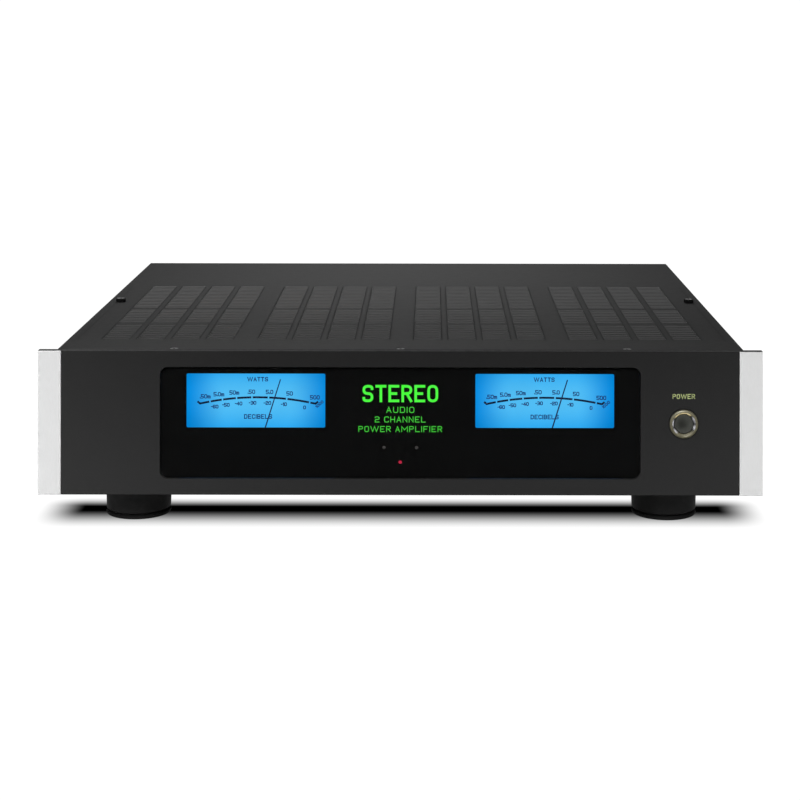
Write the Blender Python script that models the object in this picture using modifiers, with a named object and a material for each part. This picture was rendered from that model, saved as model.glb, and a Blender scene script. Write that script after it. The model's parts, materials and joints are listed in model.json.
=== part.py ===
"""Two-channel power amplifier in a full-width case, two rack units high, on four feet.

Metres. X runs to the right as seen from the front, Y to the back and Z up. The origin lies
on the floor under the centre of the whole object's box. Depths are counted back from the
front panel's face, reaches outwards from the rear panel's outer face, and drops down from
the front panel's top edge.
"""

import math

import bmesh
import bpy
from mathutils import Matrix, Vector

# ---------------------------------------------------------------- driving dimensions
PANEL_WIDTH = 0.4445
PANEL_HEIGHT = 0.0881
PANEL_THICKNESS = 0.006
FLOOR_CLEARANCE = 0.0215
BODY_WIDTH = 0.423
BODY_LENGTH = 0.370
SHEET = 0.0015
GAP = 0.0003
OVERRUN = 0.002

BEZEL_PROUD = 0.0016
TERMINAL_REACH = 0.024
REAR_RECESS = 0.0005

TOTAL_DEPTH = BEZEL_PROUD + PANEL_THICKNESS + BODY_LENGTH - REAR_RECESS + TERMINAL_REACH
FACE_Y = BEZEL_PROUD - TOTAL_DEPTH / 2
BODY_END = PANEL_THICKNESS + BODY_LENGTH
REAR_Y = FACE_Y + BODY_END - REAR_RECESS
PANEL_TOP = FLOOR_CLEARANCE + PANEL_HEIGHT
PANEL_MID = FLOOR_CLEARANCE + PANEL_HEIGHT / 2

# ---------------------------------------------------------------- front
FACE_CHAMFER = 0.0004
END_CAP_WIDTH = 0.0142
END_CAP_THICKNESS = 0.0011
LEDGE_HALF_WIDTH = 0.193
LEDGE_DEPTH = 0.014
LEDGE_HEIGHT = 0.0046

WINDOW_WIDTH = 0.2948
WINDOW_HEIGHT = 0.0688
WINDOW_RADIUS = 0.0051
LENS_THICKNESS = 0.002
MASK_THICKNESS = 0.0006
MASK_DEPTH = 2 * GAP + LENS_THICKNESS

METER_X = 0.0887
METER_WINDOW_WIDTH = 0.0852
METER_WINDOW_HEIGHT = 0.0332
METER_WINDOW_DROP = 0.0308
CASE_WIDTH = 0.098
CASE_TOP_DROP = 0.0105
CASE_BOTTOM_DROP = 0.0801
CASE_FRONT_DEPTH = 0.0064
CASE_BACK_DEPTH = 0.032
DIAL_DEPTH = 0.012
DIAL_THICKNESS = 0.0008
PIVOT_DROP = 0.0655
POINTER_DEPTH = 0.010
POINTER_LENGTH = 0.0484
POINTER_REST_ANGLE = math.radians(17.4)

BUTTON_X = 0.1737
BUTTON_RADIUS = 0.0058
BEZEL_RADIUS = 0.00895
BEZEL_BORE = 0.0062
COLLAR_RADIUS = 0.007

STANDBY_LED_DROP = 0.0685
STATUS_LED_DROP = 0.0595
STATUS_LED_X = 0.010
PEEPHOLE_RADIUS = 0.0011
BOARD_DEPTH = 0.009
BOARD_THICKNESS = 0.0016

# ---------------------------------------------------------------- case
TRAY_BOTTOM = 0.023
TRAY_TOP = PANEL_TOP - SHEET - GAP
TRAY_FLANGE = 0.014
SLOT_WIDTH = 0.0040
SLOT_PITCH = 0.0065
SLOT_LENGTH = 0.0173
COLUMN_PITCH = 0.02195
GROUP_PITCH = 0.0989
COLUMNS_PER_GROUP = 4
GROUPS = 4
SLOT_ROWS = ((0.0342, 8), (0.0940, 8), (0.1526, 15))
FLOOR_VENT_X = 0.105
FLOOR_VENT_LENGTH = 0.070
FLOOR_VENT_COUNT = 8
FLOOR_VENT_PITCH = 0.010
FLOOR_VENT_START = 0.150

FRONT_SCREW_X = 0.140
FRONT_SCREW_SETBACK = 0.0035
SIDE_SCREW_X = 0.2024
SIDE_SCREW_SETBACK = 0.1760
SCREW_SHANK = 0.0015
SHANK_HOLE = 0.0019
FLUSH_HEAD = 0.0026
FLUSH_SHANK = 0.0014

FOOT_X = 0.1667
FOOT_DEPTH = 0.0425
FOOT_RADIUS = 0.0208
PAD_HEIGHT = 0.0023

# ---------------------------------------------------------------- rear
SPEAKER_X = (0.158, 0.177)
SPEAKER_Z = 0.060
SOCKET_X = 0.112
PHONO_X = -0.058
PHONO_SPACING = 0.024
INLET_X = 0.058
REAR_MID = 0.0655
SPEAKER_HOLE = 0.0045
PHONO_HOLE = 0.0055
SOCKET_HOLE = 0.0121

# ---------------------------------------------------------------- inside
FLOOR_TOP = TRAY_BOTTOM + SHEET + GAP
CIRCUIT_Z = 0.034
BOARD_TOP = CIRCUIT_Z + BOARD_THICKNESS
PILLAR_INSET = 0.006
PILLAR_RADIUS = 0.003

# ---------------------------------------------------------------- facets
FINE = 40
MEDIUM = 24
COARSE = 16

# ---------------------------------------------------------------- turns from a part's own axes
ALONG_Y = (-math.pi / 2, 0, 0)
UPRIGHT_OUTLINE = (math.pi / 2, 0, 0)


def depth(distance):
    """Y of a point this far behind the front panel's face."""
    return FACE_Y + distance


def reach(distance):
    """Y of a point this far beyond the rear panel's outer face."""
    return REAR_Y + distance


def drop(distance):
    """Z of a point this far below the front panel's top edge."""
    return PANEL_TOP - distance


# ---------------------------------------------------------------- tools
def clear_objects():
    for item in list(bpy.data.objects):
        bpy.data.objects.remove(item, do_unlink=True)


def new_collection(name):
    made = bpy.data.collections.new(name)
    bpy.context.scene.collection.children.link(made)
    return made


def paint(name, colour, roughness, metallic=0.0):
    """A material with one Principled BSDF."""
    material = bpy.data.materials.new(name)
    material.use_nodes = True
    shader = material.node_tree.nodes["Principled BSDF"]
    shader.inputs["Base Color"].default_value = (*colour, 1.0)
    shader.inputs["Roughness"].default_value = roughness
    shader.inputs["Metallic"].default_value = metallic
    return material


def show(name, mesh, material, location=(0, 0, 0), rotation=(0, 0, 0)):
    """A part of the amplifier, from its mesh."""
    part = bpy.data.objects.new(name, mesh)
    part.location = location
    part.rotation_euler = rotation
    part.data.materials.append(material)
    PARTS.objects.link(part)
    return part


def guide(name, mesh, location=(0, 0, 0), rotation=(0, 0, 0)):
    """A hidden shape that a Boolean cuts with or adds."""
    shape = bpy.data.objects.new(name, mesh)
    shape.location = location
    shape.rotation_euler = rotation
    shape.hide_render = True
    shape.display_type = "WIRE"
    CUTTERS.objects.link(shape)
    return shape


def combine(part, other, operation):
    boolean = part.modifiers.new(other.name, "BOOLEAN")
    boolean.operation = operation
    boolean.solver = "EXACT"
    boolean.object = other


def cut(part, other):
    combine(part, other, "DIFFERENCE")


def join(part, other):
    combine(part, other, "UNION")


def mesh_from(shape, name):
    mesh = bpy.data.meshes.new(name)
    shape.to_mesh(mesh)
    shape.free()
    return mesh


def boxes(name, placed, bevel=0.0):
    """One mesh holding a box for each (size, centre)."""
    shape = bmesh.new()
    for size, centre in placed:
        matrix = Matrix.Translation(centre) @ Matrix.Diagonal((*size, 1.0))
        bmesh.ops.create_cube(shape, size=1.0, matrix=matrix)
    if bevel:
        bmesh.ops.bevel(shape, geom=shape.edges[:], offset=bevel, segments=1, affect="EDGES")
    return mesh_from(shape, name)


def span_box(low, high):
    """(size, centre) of the box between two corners, for boxes()."""
    low = Vector(low)
    high = Vector(high)
    return high - low, (low + high) / 2


def run_along_y(edge):
    return abs(edge.verts[0].co.y - edge.verts[1].co.y)


def faced_box(name, size, chamfer):
    """A box centred on the origin whose four front edges are chamfered."""
    shape = bmesh.new()
    bmesh.ops.create_cube(shape, size=1.0, matrix=Matrix.Diagonal((*size, 1.0)))
    front = [edge for edge in shape.edges if all(vert.co.y < 0 for vert in edge.verts)]
    bmesh.ops.bevel(shape, geom=front, offset=chamfer, segments=1, affect="EDGES")
    return mesh_from(shape, name)


def rounded_box(name, size, radius, segments=4, rim=0.0):
    """A box centred on the origin whose four edges along Y are rounded."""
    shape = bmesh.new()
    bmesh.ops.create_cube(shape, size=1.0, matrix=Matrix.Diagonal((*size, 1.0)))
    lengthwise = [edge for edge in shape.edges if run_along_y(edge) > size[1] / 2]
    bmesh.ops.bevel(
        shape, geom=lengthwise, offset=radius, segments=segments, profile=0.5, affect="EDGES"
    )
    if rim:
        around = [edge for edge in shape.edges if run_along_y(edge) < size[1] / 2]
        bmesh.ops.bevel(shape, geom=around, offset=rim, segments=1, affect="EDGES")
    return mesh_from(shape, name)


def cylinders(name, placed, sides):
    """One mesh holding an upright cylinder for each (radius, low point, height)."""
    shape = bmesh.new()
    for radius, low, height in placed:
        matrix = Matrix.Translation(Vector(low) + Vector((0, 0, height / 2)))
        bmesh.ops.create_cone(
            shape,
            cap_ends=True,
            segments=sides,
            radius1=radius,
            radius2=radius,
            depth=height,
            matrix=matrix,
        )
    return mesh_from(shape, name)


def rods(name, placed, sides):
    """One mesh holding a cylinder along Y for each (radius, start point, length)."""
    shape = bmesh.new()
    for radius, start, length in placed:
        centre = Vector(start) + Vector((0, length / 2, 0))
        matrix = Matrix.Translation(centre) @ Matrix.Rotation(math.pi / 2, 4, "X")
        bmesh.ops.create_cone(
            shape,
            cap_ends=True,
            segments=sides,
            radius1=radius,
            radius2=radius,
            depth=length,
            matrix=matrix,
        )
    return mesh_from(shape, name)


def folded_sheet(name, path, front, back):
    """An open surface: the (x, z) path swept along Y from front to back."""
    shape = bmesh.new()
    verts = [shape.verts.new((x, front, z)) for x, z in path]
    edges = [shape.edges.new(pair) for pair in zip(verts, verts[1:])]
    swept = bmesh.ops.extrude_edge_only(shape, edges=edges)["geom"]
    moved = [item for item in swept if isinstance(item, bmesh.types.BMVert)]
    bmesh.ops.translate(shape, verts=moved, vec=(0, back - front, 0))
    bmesh.ops.recalc_face_normals(shape, faces=shape.faces)
    return mesh_from(shape, name)


def thicken(part, thickness):
    """Gives an open surface its thickness, measured inwards from it."""
    solid = part.modifiers.new("Thickness", "SOLIDIFY")
    solid.thickness = thickness
    solid.offset = -1.0
    solid.use_even_offset = True


def profile_mesh(name, profile, closed=False):
    """Edges through (radius, height) points in the XZ plane, ready for a Screw modifier."""
    points = [(radius, 0.0, height) for radius, height in profile]
    edges = [(i, i + 1) for i in range(len(points) - 1)]
    if closed:
        edges.append((len(points) - 1, 0))
    mesh = bpy.data.meshes.new(name)
    mesh.from_pydata(points, edges, [])
    return mesh


def spin(part, steps):
    """Turns the part's profile round its own Z."""
    screw = part.modifiers.new("Turn", "SCREW")
    screw.axis = "Z"
    screw.steps = steps
    screw.render_steps = steps
    screw.use_merge_vertices = True
    screw.merge_threshold = 0.00001
    screw.use_smooth_shade = True
    return part


def outline_part(name, points, thickness, material, location, rotation=(0, 0, 0)):
    """A flat outline given as (x, y) points, extruded along its own Z and made a mesh."""
    curve = bpy.data.curves.new(name, "CURVE")
    curve.dimensions = "2D"
    curve.fill_mode = "BOTH"
    curve.extrude = thickness / 2
    spline = curve.splines.new("POLY")
    spline.points.add(len(points) - 1)
    for point, (x, y) in zip(spline.points, points):
        point.co = (x, y, 0.0, 1.0)
    spline.use_cyclic_u = True
    return mesh_from_curve(name, curve, material, location, rotation)


def tube_part(name, points, radius, material):
    """A round tube or cable through the points, made a mesh."""
    curve = bpy.data.curves.new(name, "CURVE")
    curve.dimensions = "3D"
    curve.bevel_depth = radius
    curve.bevel_resolution = 2
    curve.use_fill_caps = True
    spline = curve.splines.new("POLY")
    spline.points.add(len(points) - 1)
    for point, place in zip(spline.points, points):
        point.co = (*place, 1.0)
    return mesh_from_curve(name, curve, material, (0, 0, 0), (0, 0, 0))


def mesh_from_curve(name, curve, material, location, rotation):
    drawn = bpy.data.objects.new(name + "_curve", curve)
    PARTS.objects.link(drawn)
    evaluated = drawn.evaluated_get(bpy.context.evaluated_depsgraph_get())
    mesh = bpy.data.meshes.new_from_object(evaluated)
    bpy.data.objects.remove(drawn)
    shape = bmesh.new()
    shape.from_mesh(mesh)
    bmesh.ops.remove_doubles(shape, verts=shape.verts, dist=0.000001)
    bmesh.ops.recalc_face_normals(shape, faces=shape.faces)
    shape.to_mesh(mesh)
    shape.free()
    return show(name, mesh, material, location, rotation)


def pivot(name, location, angle=0.0):
    """An empty on a moving part's axis, turned about Y by the part's resting angle."""
    empty = bpy.data.objects.new(name, None)
    empty.location = location
    empty.rotation_euler = (0, angle, 0)
    PARTS.objects.link(empty)
    return empty


# ---------------------------------------------------------------- case
def tray_path():
    """Outer (x, z) line of the folded tray: flange, side, floor, side, flange."""
    half = BODY_WIDTH / 2
    right = [(half - TRAY_FLANGE, TRAY_TOP), (half, TRAY_TOP), (half, TRAY_BOTTOM)]
    return right + [(-x, z) for x, z in reversed(right)]


def floor_vents():
    size = (FLOOR_VENT_LENGTH, SLOT_WIDTH, SHEET + 2 * OVERRUN)
    z = TRAY_BOTTOM + SHEET / 2
    for side in (-1, 1):
        for row in range(FLOOR_VENT_COUNT):
            y = depth(FLOOR_VENT_START + row * FLOOR_VENT_PITCH)
            yield size, (side * FLOOR_VENT_X, y, z)


def make_tray():
    sheet = folded_sheet("chassis_tray", tray_path(), cover_front(), depth(BODY_END))
    tray = show("chassis_tray", sheet, PAINT["sheet"])
    thicken(tray, SHEET)
    cut(tray, guide("tray_vents", boxes("tray_vents", floor_vents())))
    holes = side_screw_holes(TRAY_TOP - SHEET)
    cut(tray, guide("tray_screw_holes", cylinders("tray_screw_holes", holes, COARSE)))


def cover_front():
    return depth(PANEL_THICKNESS + GAP)


def front_screw_y():
    return cover_front() + FRONT_SCREW_SETBACK


def side_screw_y():
    return cover_front() + SIDE_SCREW_SETBACK


def side_screw_holes(underside):
    """Holes for the two side screws through a sheet whose underside is at this height."""
    low = underside - OVERRUN
    length = SHEET + 2 * OVERRUN
    return [(SHANK_HOLE, (side * SIDE_SCREW_X, side_screw_y(), low), length) for side in (-1, 1)]


def vent_slots():
    """(size, centre) of every slot in the cover: groups of columns, in three bands."""
    size = (SLOT_LENGTH, SLOT_WIDTH, SHEET + 2 * OVERRUN)
    z = PANEL_TOP - SHEET / 2
    for group in range(GROUPS):
        group_x = (group - (GROUPS - 1) / 2) * GROUP_PITCH
        for column in range(COLUMNS_PER_GROUP):
            x = group_x + (column - (COLUMNS_PER_GROUP - 1) / 2) * COLUMN_PITCH
            for start, count in SLOT_ROWS:
                for row in range(count):
                    y = cover_front() + start + SLOT_WIDTH / 2 + row * SLOT_PITCH
                    yield size, (x, y, z)


def make_cover():
    half = BODY_WIDTH / 2
    underside = PANEL_TOP - SHEET
    sheet = span_box((-half, cover_front(), underside), (half, depth(BODY_END), PANEL_TOP))
    cover = show("top_cover", boxes("top_cover", [sheet], bevel=0.0004), PAINT["cover"])
    cut(cover, guide("cover_slots", boxes("cover_slots", vent_slots())))
    side_holes = cylinders("cover_side_holes", side_screw_holes(underside), COARSE)
    cut(cover, guide("cover_side_holes", side_holes))
    countersink = [
        (0.0, OVERRUN),
        (FLUSH_HEAD + GAP, OVERRUN),
        (FLUSH_HEAD + GAP, -0.0002),
        (FLUSH_SHANK + GAP, -0.0014),
        (FLUSH_SHANK + GAP, -0.0064),
        (0.0, -0.0064),
    ]
    for x in (-FRONT_SCREW_X, 0.0, FRONT_SCREW_X):
        place = (x, front_screw_y(), PANEL_TOP)
        hole = guide("cover_countersink", profile_mesh("cover_countersink", countersink), place)
        cut(cover, spin(hole, COARSE))


def make_cover_screws():
    sunk = -0.0002
    flush = [
        (0.0, sunk),
        (FLUSH_HEAD, sunk),
        (FLUSH_SHANK, -0.0013),
        (FLUSH_SHANK, -0.0055),
        (0.0, -0.0055),
    ]
    for name, x in (("left", -FRONT_SCREW_X), ("centre", 0.0), ("right", FRONT_SCREW_X)):
        place = (x, front_screw_y(), PANEL_TOP)
        mesh = profile_mesh("flush_screw", flush)
        screw = spin(show("cover_screw_front_" + name, mesh, PAINT["screw"], place), COARSE)
        add_socket(screw, place, sunk, 0.0009)
    proud = 0.0027
    cap_head = [
        (0.0, proud),
        (0.0026, proud),
        (0.0034, proud - 0.0006),
        (0.0034, GAP),
        (SCREW_SHANK, GAP),
        (SCREW_SHANK, -0.0060),
        (0.0, -0.0060),
    ]
    for name, side in (("left", -1), ("right", 1)):
        place = (side * SIDE_SCREW_X, side_screw_y(), PANEL_TOP)
        mesh = profile_mesh("cap_screw", cap_head)
        screw = spin(show("cover_screw_side_" + name, mesh, PAINT["screw"], place), COARSE)
        add_socket(screw, place, proud, 0.0012)


def add_socket(screw, place, top, radius):
    """A hexagon socket sunk into the screw's head."""
    sunk = [(radius, (0, 0, top - radius), 2 * radius)]
    cut(screw, guide(screw.name + "_socket", cylinders("hexagon_socket", sunk, 6), place))


def make_feet():
    body = [
        (0.0, TRAY_BOTTOM - GAP),
        (FOOT_RADIUS - 0.0004, TRAY_BOTTOM - GAP),
        (FOOT_RADIUS, TRAY_BOTTOM - 0.0008),
        (FOOT_RADIUS - 0.0006, PAD_HEIGHT + 0.0015),
        (FOOT_RADIUS - 0.0018, PAD_HEIGHT + GAP),
        (0.0, PAD_HEIGHT + GAP),
    ]
    pad = [
        (0.0, PAD_HEIGHT),
        (FOOT_RADIUS - 0.0014, PAD_HEIGHT),
        (FOOT_RADIUS - 0.0005, PAD_HEIGHT - 0.0006),
        (FOOT_RADIUS - 0.0005, 0.0006),
        (FOOT_RADIUS - 0.0009, 0.0),
        (0.0, 0.0),
    ]
    for row, y in (("front", depth(FOOT_DEPTH)), ("rear", depth(BODY_END - FOOT_DEPTH))):
        for side_name, side in (("left", -1), ("right", 1)):
            place = (side * FOOT_X, y, 0)
            label = row + "_" + side_name
            spin(show("foot_" + label, profile_mesh("foot", body), PAINT["foot"], place), FINE)
            spin(show("foot_pad_" + label, profile_mesh("foot_pad", pad), PAINT["rubber"], place), FINE)


# ---------------------------------------------------------------- front
def make_front_panel():
    middle = (0, depth(PANEL_THICKNESS / 2), PANEL_MID)
    plate = faced_box("front_panel", (PANEL_WIDTH, PANEL_THICKNESS, PANEL_HEIGHT), FACE_CHAMFER)
    panel = show("front_panel", plate, PAINT["panel"], middle)
    ledge = span_box(
        (-LEDGE_HALF_WIDTH, depth(PANEL_THICKNESS - OVERRUN), TRAY_TOP - LEDGE_HEIGHT),
        (LEDGE_HALF_WIDTH, depth(LEDGE_DEPTH), TRAY_TOP),
    )
    join(panel, guide("panel_ledge", boxes("panel_ledge", [ledge])))
    opening_size = (WINDOW_WIDTH, PANEL_THICKNESS + 2 * OVERRUN, WINDOW_HEIGHT)
    opening = rounded_box("panel_window", opening_size, WINDOW_RADIUS, 6)
    cut(panel, guide("panel_window", opening, middle))
    inner = PANEL_WIDTH / 2 - END_CAP_WIDTH - GAP
    outer = PANEL_WIDTH
    rebate_back = depth(END_CAP_THICKNESS + GAP)
    rebates = [
        span_box(
            (left, depth(-OVERRUN), FLOOR_CLEARANCE - OVERRUN),
            (right, rebate_back, PANEL_TOP + OVERRUN),
        )
        for left, right in ((-outer, -inner), (inner, outer))
    ]
    cut(panel, guide("end_cap_rebates", boxes("end_cap_rebates", rebates)))
    bore = [
        (0.0, PANEL_THICKNESS + OVERRUN),
        (COLLAR_RADIUS + GAP, PANEL_THICKNESS + OVERRUN),
        (COLLAR_RADIUS + GAP, 2 * GAP),
        (BEZEL_RADIUS + GAP, 2 * GAP),
        (BEZEL_RADIUS + GAP, -OVERRUN),
        (0.0, -OVERRUN),
    ]
    place = (BUTTON_X, FACE_Y, PANEL_MID)
    hole = guide("button_hole", profile_mesh("button_hole", bore), place, ALONG_Y)
    cut(panel, spin(hole, FINE))
    low = TRAY_TOP - LEDGE_HEIGHT - OVERRUN
    length = LEDGE_HEIGHT + 2 * OVERRUN
    tap = FLUSH_SHANK + 0.0004
    taps = [
        (tap, (x, front_screw_y(), low), length) for x in (-FRONT_SCREW_X, 0.0, FRONT_SCREW_X)
    ]
    cut(panel, guide("ledge_taps", cylinders("ledge_taps", taps, COARSE)))


def make_end_caps():
    size = (END_CAP_WIDTH, END_CAP_THICKNESS, PANEL_HEIGHT)
    x = PANEL_WIDTH / 2 - END_CAP_WIDTH / 2
    y = depth(END_CAP_THICKNESS / 2)
    for name, side in (("left", -1), ("right", 1)):
        mesh = faced_box("end_cap", size, FACE_CHAMFER)
        show("end_cap_" + name, mesh, PAINT["silver"], (side * x, y, PANEL_MID))


def make_display():
    width = WINDOW_WIDTH - 2 * GAP
    height = WINDOW_HEIGHT - 2 * GAP
    radius = WINDOW_RADIUS - GAP
    lens = rounded_box("display_lens", (width, LENS_THICKNESS, height), radius, 6, rim=0.0003)
    show("display_lens", lens, PAINT["lens"], (0, depth(GAP + LENS_THICKNESS / 2), PANEL_MID))
    mask_mesh = rounded_box("display_mask", (width, MASK_THICKNESS, height), radius, 6)
    mask_y = depth(MASK_DEPTH + MASK_THICKNESS / 2)
    mask = show("display_mask", mask_mesh, PAINT["mask"], (0, mask_y, PANEL_MID))
    for name, side in (("left", -1), ("right", 1)):
        opening_size = (METER_WINDOW_WIDTH, 2 * OVERRUN, METER_WINDOW_HEIGHT)
        opening = rounded_box("meter_window", opening_size, 0.0008, 2)
        place = (side * METER_X, mask_y, drop(METER_WINDOW_DROP))
        cut(mask, guide("meter_window_" + name, opening, place))
    near = mask_y - OVERRUN
    peepholes = [(PEEPHOLE_RADIUS, (x, near, z), 2 * OVERRUN) for x, z in led_places()]
    cut(mask, guide("led_holes", rods("led_holes", peepholes, COARSE)))


def led_places():
    return (
        (0.0, drop(STANDBY_LED_DROP)),
        (-STATUS_LED_X, drop(STATUS_LED_DROP)),
        (STATUS_LED_X, drop(STATUS_LED_DROP)),
    )


def make_display_board():
    low = (-0.034, depth(BOARD_DEPTH), drop(0.076))
    high = (0.034, depth(BOARD_DEPTH + BOARD_THICKNESS), drop(0.012))
    show("display_board", boxes("display_board", [span_box(low, high)]), PAINT["board"])
    back = -GAP
    led = [
        (0.0, back),
        (0.0018, back),
        (0.0018, back - 0.0010),
        (0.00145, back - 0.0010),
        (0.00145, -0.0042),
        (0.0010, -0.0051),
        (0.0, -0.0055),
    ]
    names = ("standby_led", "status_led_left", "status_led_right")
    finishes = ("red_led", "dim_led", "dim_led")
    for name, finish, (x, z) in zip(names, finishes, led_places()):
        place = (x, depth(BOARD_DEPTH), z)
        spin(show(name, profile_mesh("led", led), PAINT[finish], place, ALONG_Y), COARSE)


def make_meter_bracket():
    """A strap behind both meters whose ends reach forward to the front panel."""
    inner = 0.151
    outer = inner + 0.0012
    ear = 0.161
    front = PANEL_THICKNESS + 2 * GAP
    back = CASE_BACK_DEPTH + 2 * GAP
    right = [
        (inner, back),
        (inner, front),
        (ear, front),
        (ear, front + 0.0012),
        (outer, front + 0.0012),
        (outer, back + 0.0012),
    ]
    left = [(-x, y) for x, y in reversed(right)]
    low = drop(0.065)
    high = drop(0.015)
    height = high - low
    place = (0, FACE_Y, low + height / 2)
    outline_part("meter_bracket", right + left, height, PAINT["zinc"], place)


def make_meter(name, side):
    """Case with its dial, movement and pointer."""
    x = side * METER_X
    wall = SHEET
    low = (x - CASE_WIDTH / 2, depth(CASE_FRONT_DEPTH), drop(CASE_BOTTOM_DROP))
    high = (x + CASE_WIDTH / 2, depth(CASE_BACK_DEPTH), drop(CASE_TOP_DROP))
    case_mesh = boxes("meter_case", [span_box(low, high)], bevel=0.0006)
    case = show("meter_case_" + name, case_mesh, PAINT["white"])
    inside_low = (low[0] + wall, low[1] - OVERRUN, low[2] + wall)
    inside_high = (high[0] - wall, high[1] - wall, high[2] - wall)
    cavity = boxes("meter_cavity", [span_box(inside_low, inside_high)])
    cut(case, guide("meter_cavity_" + name, cavity))

    plate_low = (inside_low[0] + GAP, depth(DIAL_DEPTH), inside_low[2] + GAP)
    plate_high = (inside_high[0] - GAP, depth(DIAL_DEPTH + DIAL_THICKNESS), inside_high[2] - GAP)
    plate = boxes("meter_dial", [span_box(plate_low, plate_high)])
    dial = show("meter_dial_" + name, plate, PAINT["dial"])
    hole_start = (x, depth(DIAL_DEPTH) - OVERRUN, drop(PIVOT_DROP))
    shaft_hole = rods("dial_hole", [(0.002, hole_start, 2 * OVERRUN + DIAL_THICKNESS)], COARSE)
    cut(dial, guide("dial_hole_" + name, shaft_hole))

    axis = (x, depth(POINTER_DEPTH), drop(PIVOT_DROP))
    movement = [
        (0.0, 0.0202),
        (0.0115, 0.0202),
        (0.0120, 0.0197),
        (0.0120, 0.0060),
        (0.0080, 0.0034),
        (0.0012, 0.0034),
        (0.0012, 0.0090),
        (0.0, 0.0090),
    ]
    coil = profile_mesh("meter_movement", movement)
    spin(show("meter_movement_" + name, coil, PAINT["zinc"], axis, ALONG_Y), MEDIUM)
    make_pointer(name, axis)


def make_pointer(name, axis):
    """Hub, shaft, needle and balancing tail, turning on the hub's centre."""
    hub = [
        (0.0, 0.0070),
        (0.0008, 0.0070),
        (0.0008, 0.0008),
        (0.0030, 0.0008),
        (0.0030, -0.0007),
        (0.0024, -0.0010),
        (0.0, -0.0010),
    ]
    empty = pivot("pointer_pivot_" + name, axis, POINTER_REST_ANGLE)
    hub_mesh = profile_mesh("meter_pointer", hub)
    pointer = show("meter_pointer_" + name, hub_mesh, PAINT["ink"], (0, 0, 0), ALONG_Y)
    pointer.parent = empty
    spin(pointer, COARSE)
    shape = bmesh.new()
    bmesh.ops.create_cone(
        shape,
        cap_ends=True,
        segments=4,
        radius1=0.0006,
        radius2=0.00045,
        depth=POINTER_LENGTH,
        matrix=Matrix.Translation((0, 0, POINTER_LENGTH / 2)) @ Matrix.Rotation(math.pi / 4, 4, "Z"),
    )
    blade = guide("needle_" + name, mesh_from(shape, "needle"))
    blade.parent = empty
    join(pointer, blade)
    weight = guide("tail_" + name, boxes("tail", [((0.0014, 0.0008, 0.0070), (0, 0, -0.0035))]))
    weight.parent = empty
    join(pointer, weight)


def make_power_button():
    place = (BUTTON_X, FACE_Y, PANEL_MID)
    cap = [
        (0.0, 0.0190),
        (0.0028, 0.0190),
        (0.0028, 0.0090),
        (BUTTON_RADIUS, 0.0090),
        (BUTTON_RADIUS, -0.0007),
        (BUTTON_RADIUS - 0.0003, -0.0010),
        (BUTTON_RADIUS - 0.0008, -0.0010),
        (BUTTON_RADIUS - 0.0024, -0.0007),
        (0.0, -0.0005),
    ]
    empty = pivot("button_travel", place)
    cap_mesh = profile_mesh("power_button", cap)
    button = show("power_button", cap_mesh, PAINT["button"], (0, 0, 0), ALONG_Y)
    button.parent = empty
    spin(button, FINE)
    ring = [
        (COLLAR_RADIUS, 0.0055),
        (COLLAR_RADIUS, GAP),
        (BEZEL_RADIUS, GAP),
        (BEZEL_RADIUS, -0.0005),
        (BEZEL_RADIUS - 0.0004, -0.0011),
        (BEZEL_RADIUS - 0.0010, -0.0015),
        (BEZEL_RADIUS - 0.0015, -BEZEL_PROUD),
        (BEZEL_RADIUS - 0.0019, -0.0013),
        (BEZEL_BORE, -0.0004),
        (BEZEL_BORE, 0.0055),
    ]
    bezel = profile_mesh("power_button_bezel", ring, closed=True)
    spin(show("power_button_bezel", bezel, PAINT["chrome"], place, ALONG_Y), FINE)
    switch_front = depth(0.0145)
    body = span_box(
        (BUTTON_X - 0.010, switch_front, PANEL_MID - 0.011),
        (BUTTON_X + 0.010, depth(0.038), PANEL_MID + 0.011),
    )
    switch = show("power_switch", boxes("power_switch", [body], bevel=0.0008), PAINT["black_plastic"])
    well = [(0.0032, (BUTTON_X, switch_front - OVERRUN, PANEL_MID), 0.010 + OVERRUN)]
    cut(switch, guide("switch_well", rods("switch_well", well, COARSE)))


# ---------------------------------------------------------------- rear
def make_rear_panel():
    half = BODY_WIDTH / 2 - SHEET - GAP
    flange = BODY_WIDTH / 2 - TRAY_FLANGE - GAP
    shoulder = TRAY_TOP - SHEET - GAP
    outline = [
        (-half, FLOOR_TOP),
        (half, FLOOR_TOP),
        (half, shoulder),
        (flange, shoulder),
        (flange, TRAY_TOP),
        (-flange, TRAY_TOP),
        (-flange, shoulder),
        (-half, shoulder),
    ]
    place = (0, REAR_Y - SHEET / 2, 0)
    panel = outline_part("rear_panel", outline, SHEET, PAINT["sheet"], place, UPRIGHT_OUTLINE)
    start = REAR_Y - SHEET - OVERRUN
    length = SHEET + 2 * OVERRUN
    holes = [
        (SPEAKER_HOLE, (side * x, start, SPEAKER_Z), length) for side in (-1, 1) for x in SPEAKER_X
    ]
    holes += [(PHONO_HOLE, (PHONO_X, start, z), length) for z in phono_heights()]
    cut(panel, guide("terminal_holes", rods("terminal_holes", holes, COARSE)))
    sockets = [(SOCKET_HOLE, (side * SOCKET_X, start, REAR_MID), length) for side in (-1, 1)]
    cut(panel, guide("socket_holes", rods("socket_holes", sockets, MEDIUM)))
    window = [((0.0286, length, 0.0346), (INLET_X, start + length / 2, REAR_MID))]
    cut(panel, guide("inlet_cutout", boxes("inlet_cutout", window)))


def phono_heights():
    return (REAR_MID - PHONO_SPACING / 2, REAR_MID + PHONO_SPACING / 2)


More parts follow.
